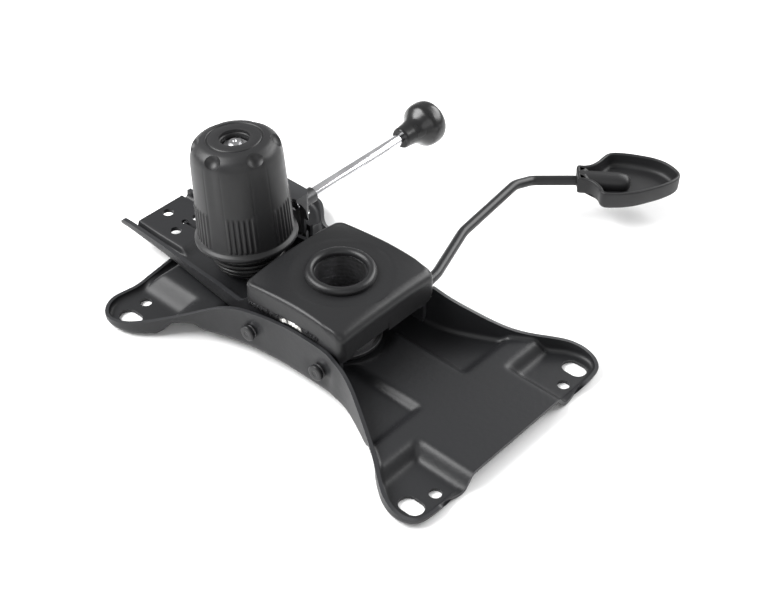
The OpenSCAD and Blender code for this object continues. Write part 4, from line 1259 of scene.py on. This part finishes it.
# Name, place, aim, width, height and power of the lamps.
LAMPS = [
    ("key", (-0.7, -0.55, 0.95), (0, 0, 0.03), 1.0, 0.8, 30),
    ("fill", (0.9, -0.8, 0.7), (0, 0, 0.03), 1.2, 0.8, 4),
    ("back", (0.35, 1.2, 0.8), (0, 0, 0.04), 1.4, 0.7, 23),
]


def area_lamp(name, at, target, width, height, power):
    data = bpy.data.lights.new(name, "AREA")
    data.shape = "RECTANGLE"
    data.size, data.size_y = width, height
    data.energy = power
    lamp = link(name, data)
    lamp.location = at
    aim = Vector(target) - Vector(at)
    lamp.rotation_euler = aim.to_track_quat("-Z", "Y").to_euler()


class MECH_OT_stage(bpy.types.Operator):
    """Sets the floor, the lamps and the camera"""

    bl_idname = "mech.stage"
    bl_label = "Stage"

    def execute(self, context):
        scene = context.scene
        bm = bmesh.new()
        bmesh.ops.create_grid(bm, x_segments=1, y_segments=1, size=6.0)
        floor = from_bmesh("floor", bm)
        floor.location = (0, 0, -0.0004)
        pale = new_material("floor", scene.mech_colours.floor, 0.0, 0.9, 0.1)[0]
        floor.data.materials.append(pale)
        world = bpy.data.worlds.new("studio")
        world.use_nodes = True
        sky = world.node_tree.nodes["Background"].inputs
        sky["Color"].default_value = (1, 1, 1, 1)
        sky["Strength"].default_value = WORLD_LIGHT
        scene.world = world
        for lamp in LAMPS:
            area_lamp(*lamp)
        cam_data = bpy.data.cameras.new("camera")
        cam_data.sensor_width = 36
        cam_data.lens = CAM_LENS
        cam_data.clip_start = 0.05
        cam = link("camera", cam_data)
        tip, roll = placed((0, 0, 0), 90 - CAM_EL, "X"), placed((0, 0, 0), CAM_ROLL, "Z")
        cam.matrix_world = placed(CAM_AT, CAM_AZ, "Z") @ tip @ roll
        scene.camera = cam
        scene.view_settings.view_transform = "Standard"
        scene.view_settings.look = "None"
        scene.view_settings.exposure = 0.0
        return {"FINISHED"}


OPERATORS = (
    MECH_OT_plate,
    MECH_OT_rivets,
    MECH_OT_arm,
    MECH_OT_cover,
    MECH_OT_socket,
    MECH_OT_welds,
    MECH_OT_knob,
    MECH_OT_spring,
    MECH_OT_lock,
    MECH_OT_gas,
    MECH_OT_carried,
    MECH_OT_stage,
)


class MECH_PT_panel(bpy.types.Panel):
    """The mechanism's sizes, colours and pieces"""

    bl_label = "Push back mechanism"
    bl_idname = "MECH_PT_panel"
    bl_space_type = "VIEW_3D"
    bl_region_type = "UI"
    bl_category = "Mechanism"

    def draw(self, context):
        layout = self.layout
        for group in (context.scene.mech_sizes, context.scene.mech_colours):
            box = layout.box()
            for key in group.__class__.__annotations__:
                box.prop(group, key)
        for op in OPERATORS:
            layout.operator(op.bl_idname)


CLASSES = (MechanismSizes, MechanismColours, *OPERATORS, MECH_PT_panel)


def register():
    for c in CLASSES:
        bpy.utils.register_class(c)
    bpy.types.Scene.mech_sizes = PointerProperty(type=MechanismSizes)
    bpy.types.Scene.mech_colours = PointerProperty(type=MechanismColours)


def unregister():
    del bpy.types.Scene.mech_sizes
    del bpy.types.Scene.mech_colours
    for c in reversed(CLASSES):
        bpy.utils.unregister_class(c)


def main():
    register()
    make_materials(bpy.context.scene.mech_colours)
    for op in OPERATORS:
        space, name = op.bl_idname.split(".")
        getattr(getattr(bpy.ops, space), name)()
    bpy.context.view_layer.update()


if __name__ == "__main__":
    main()
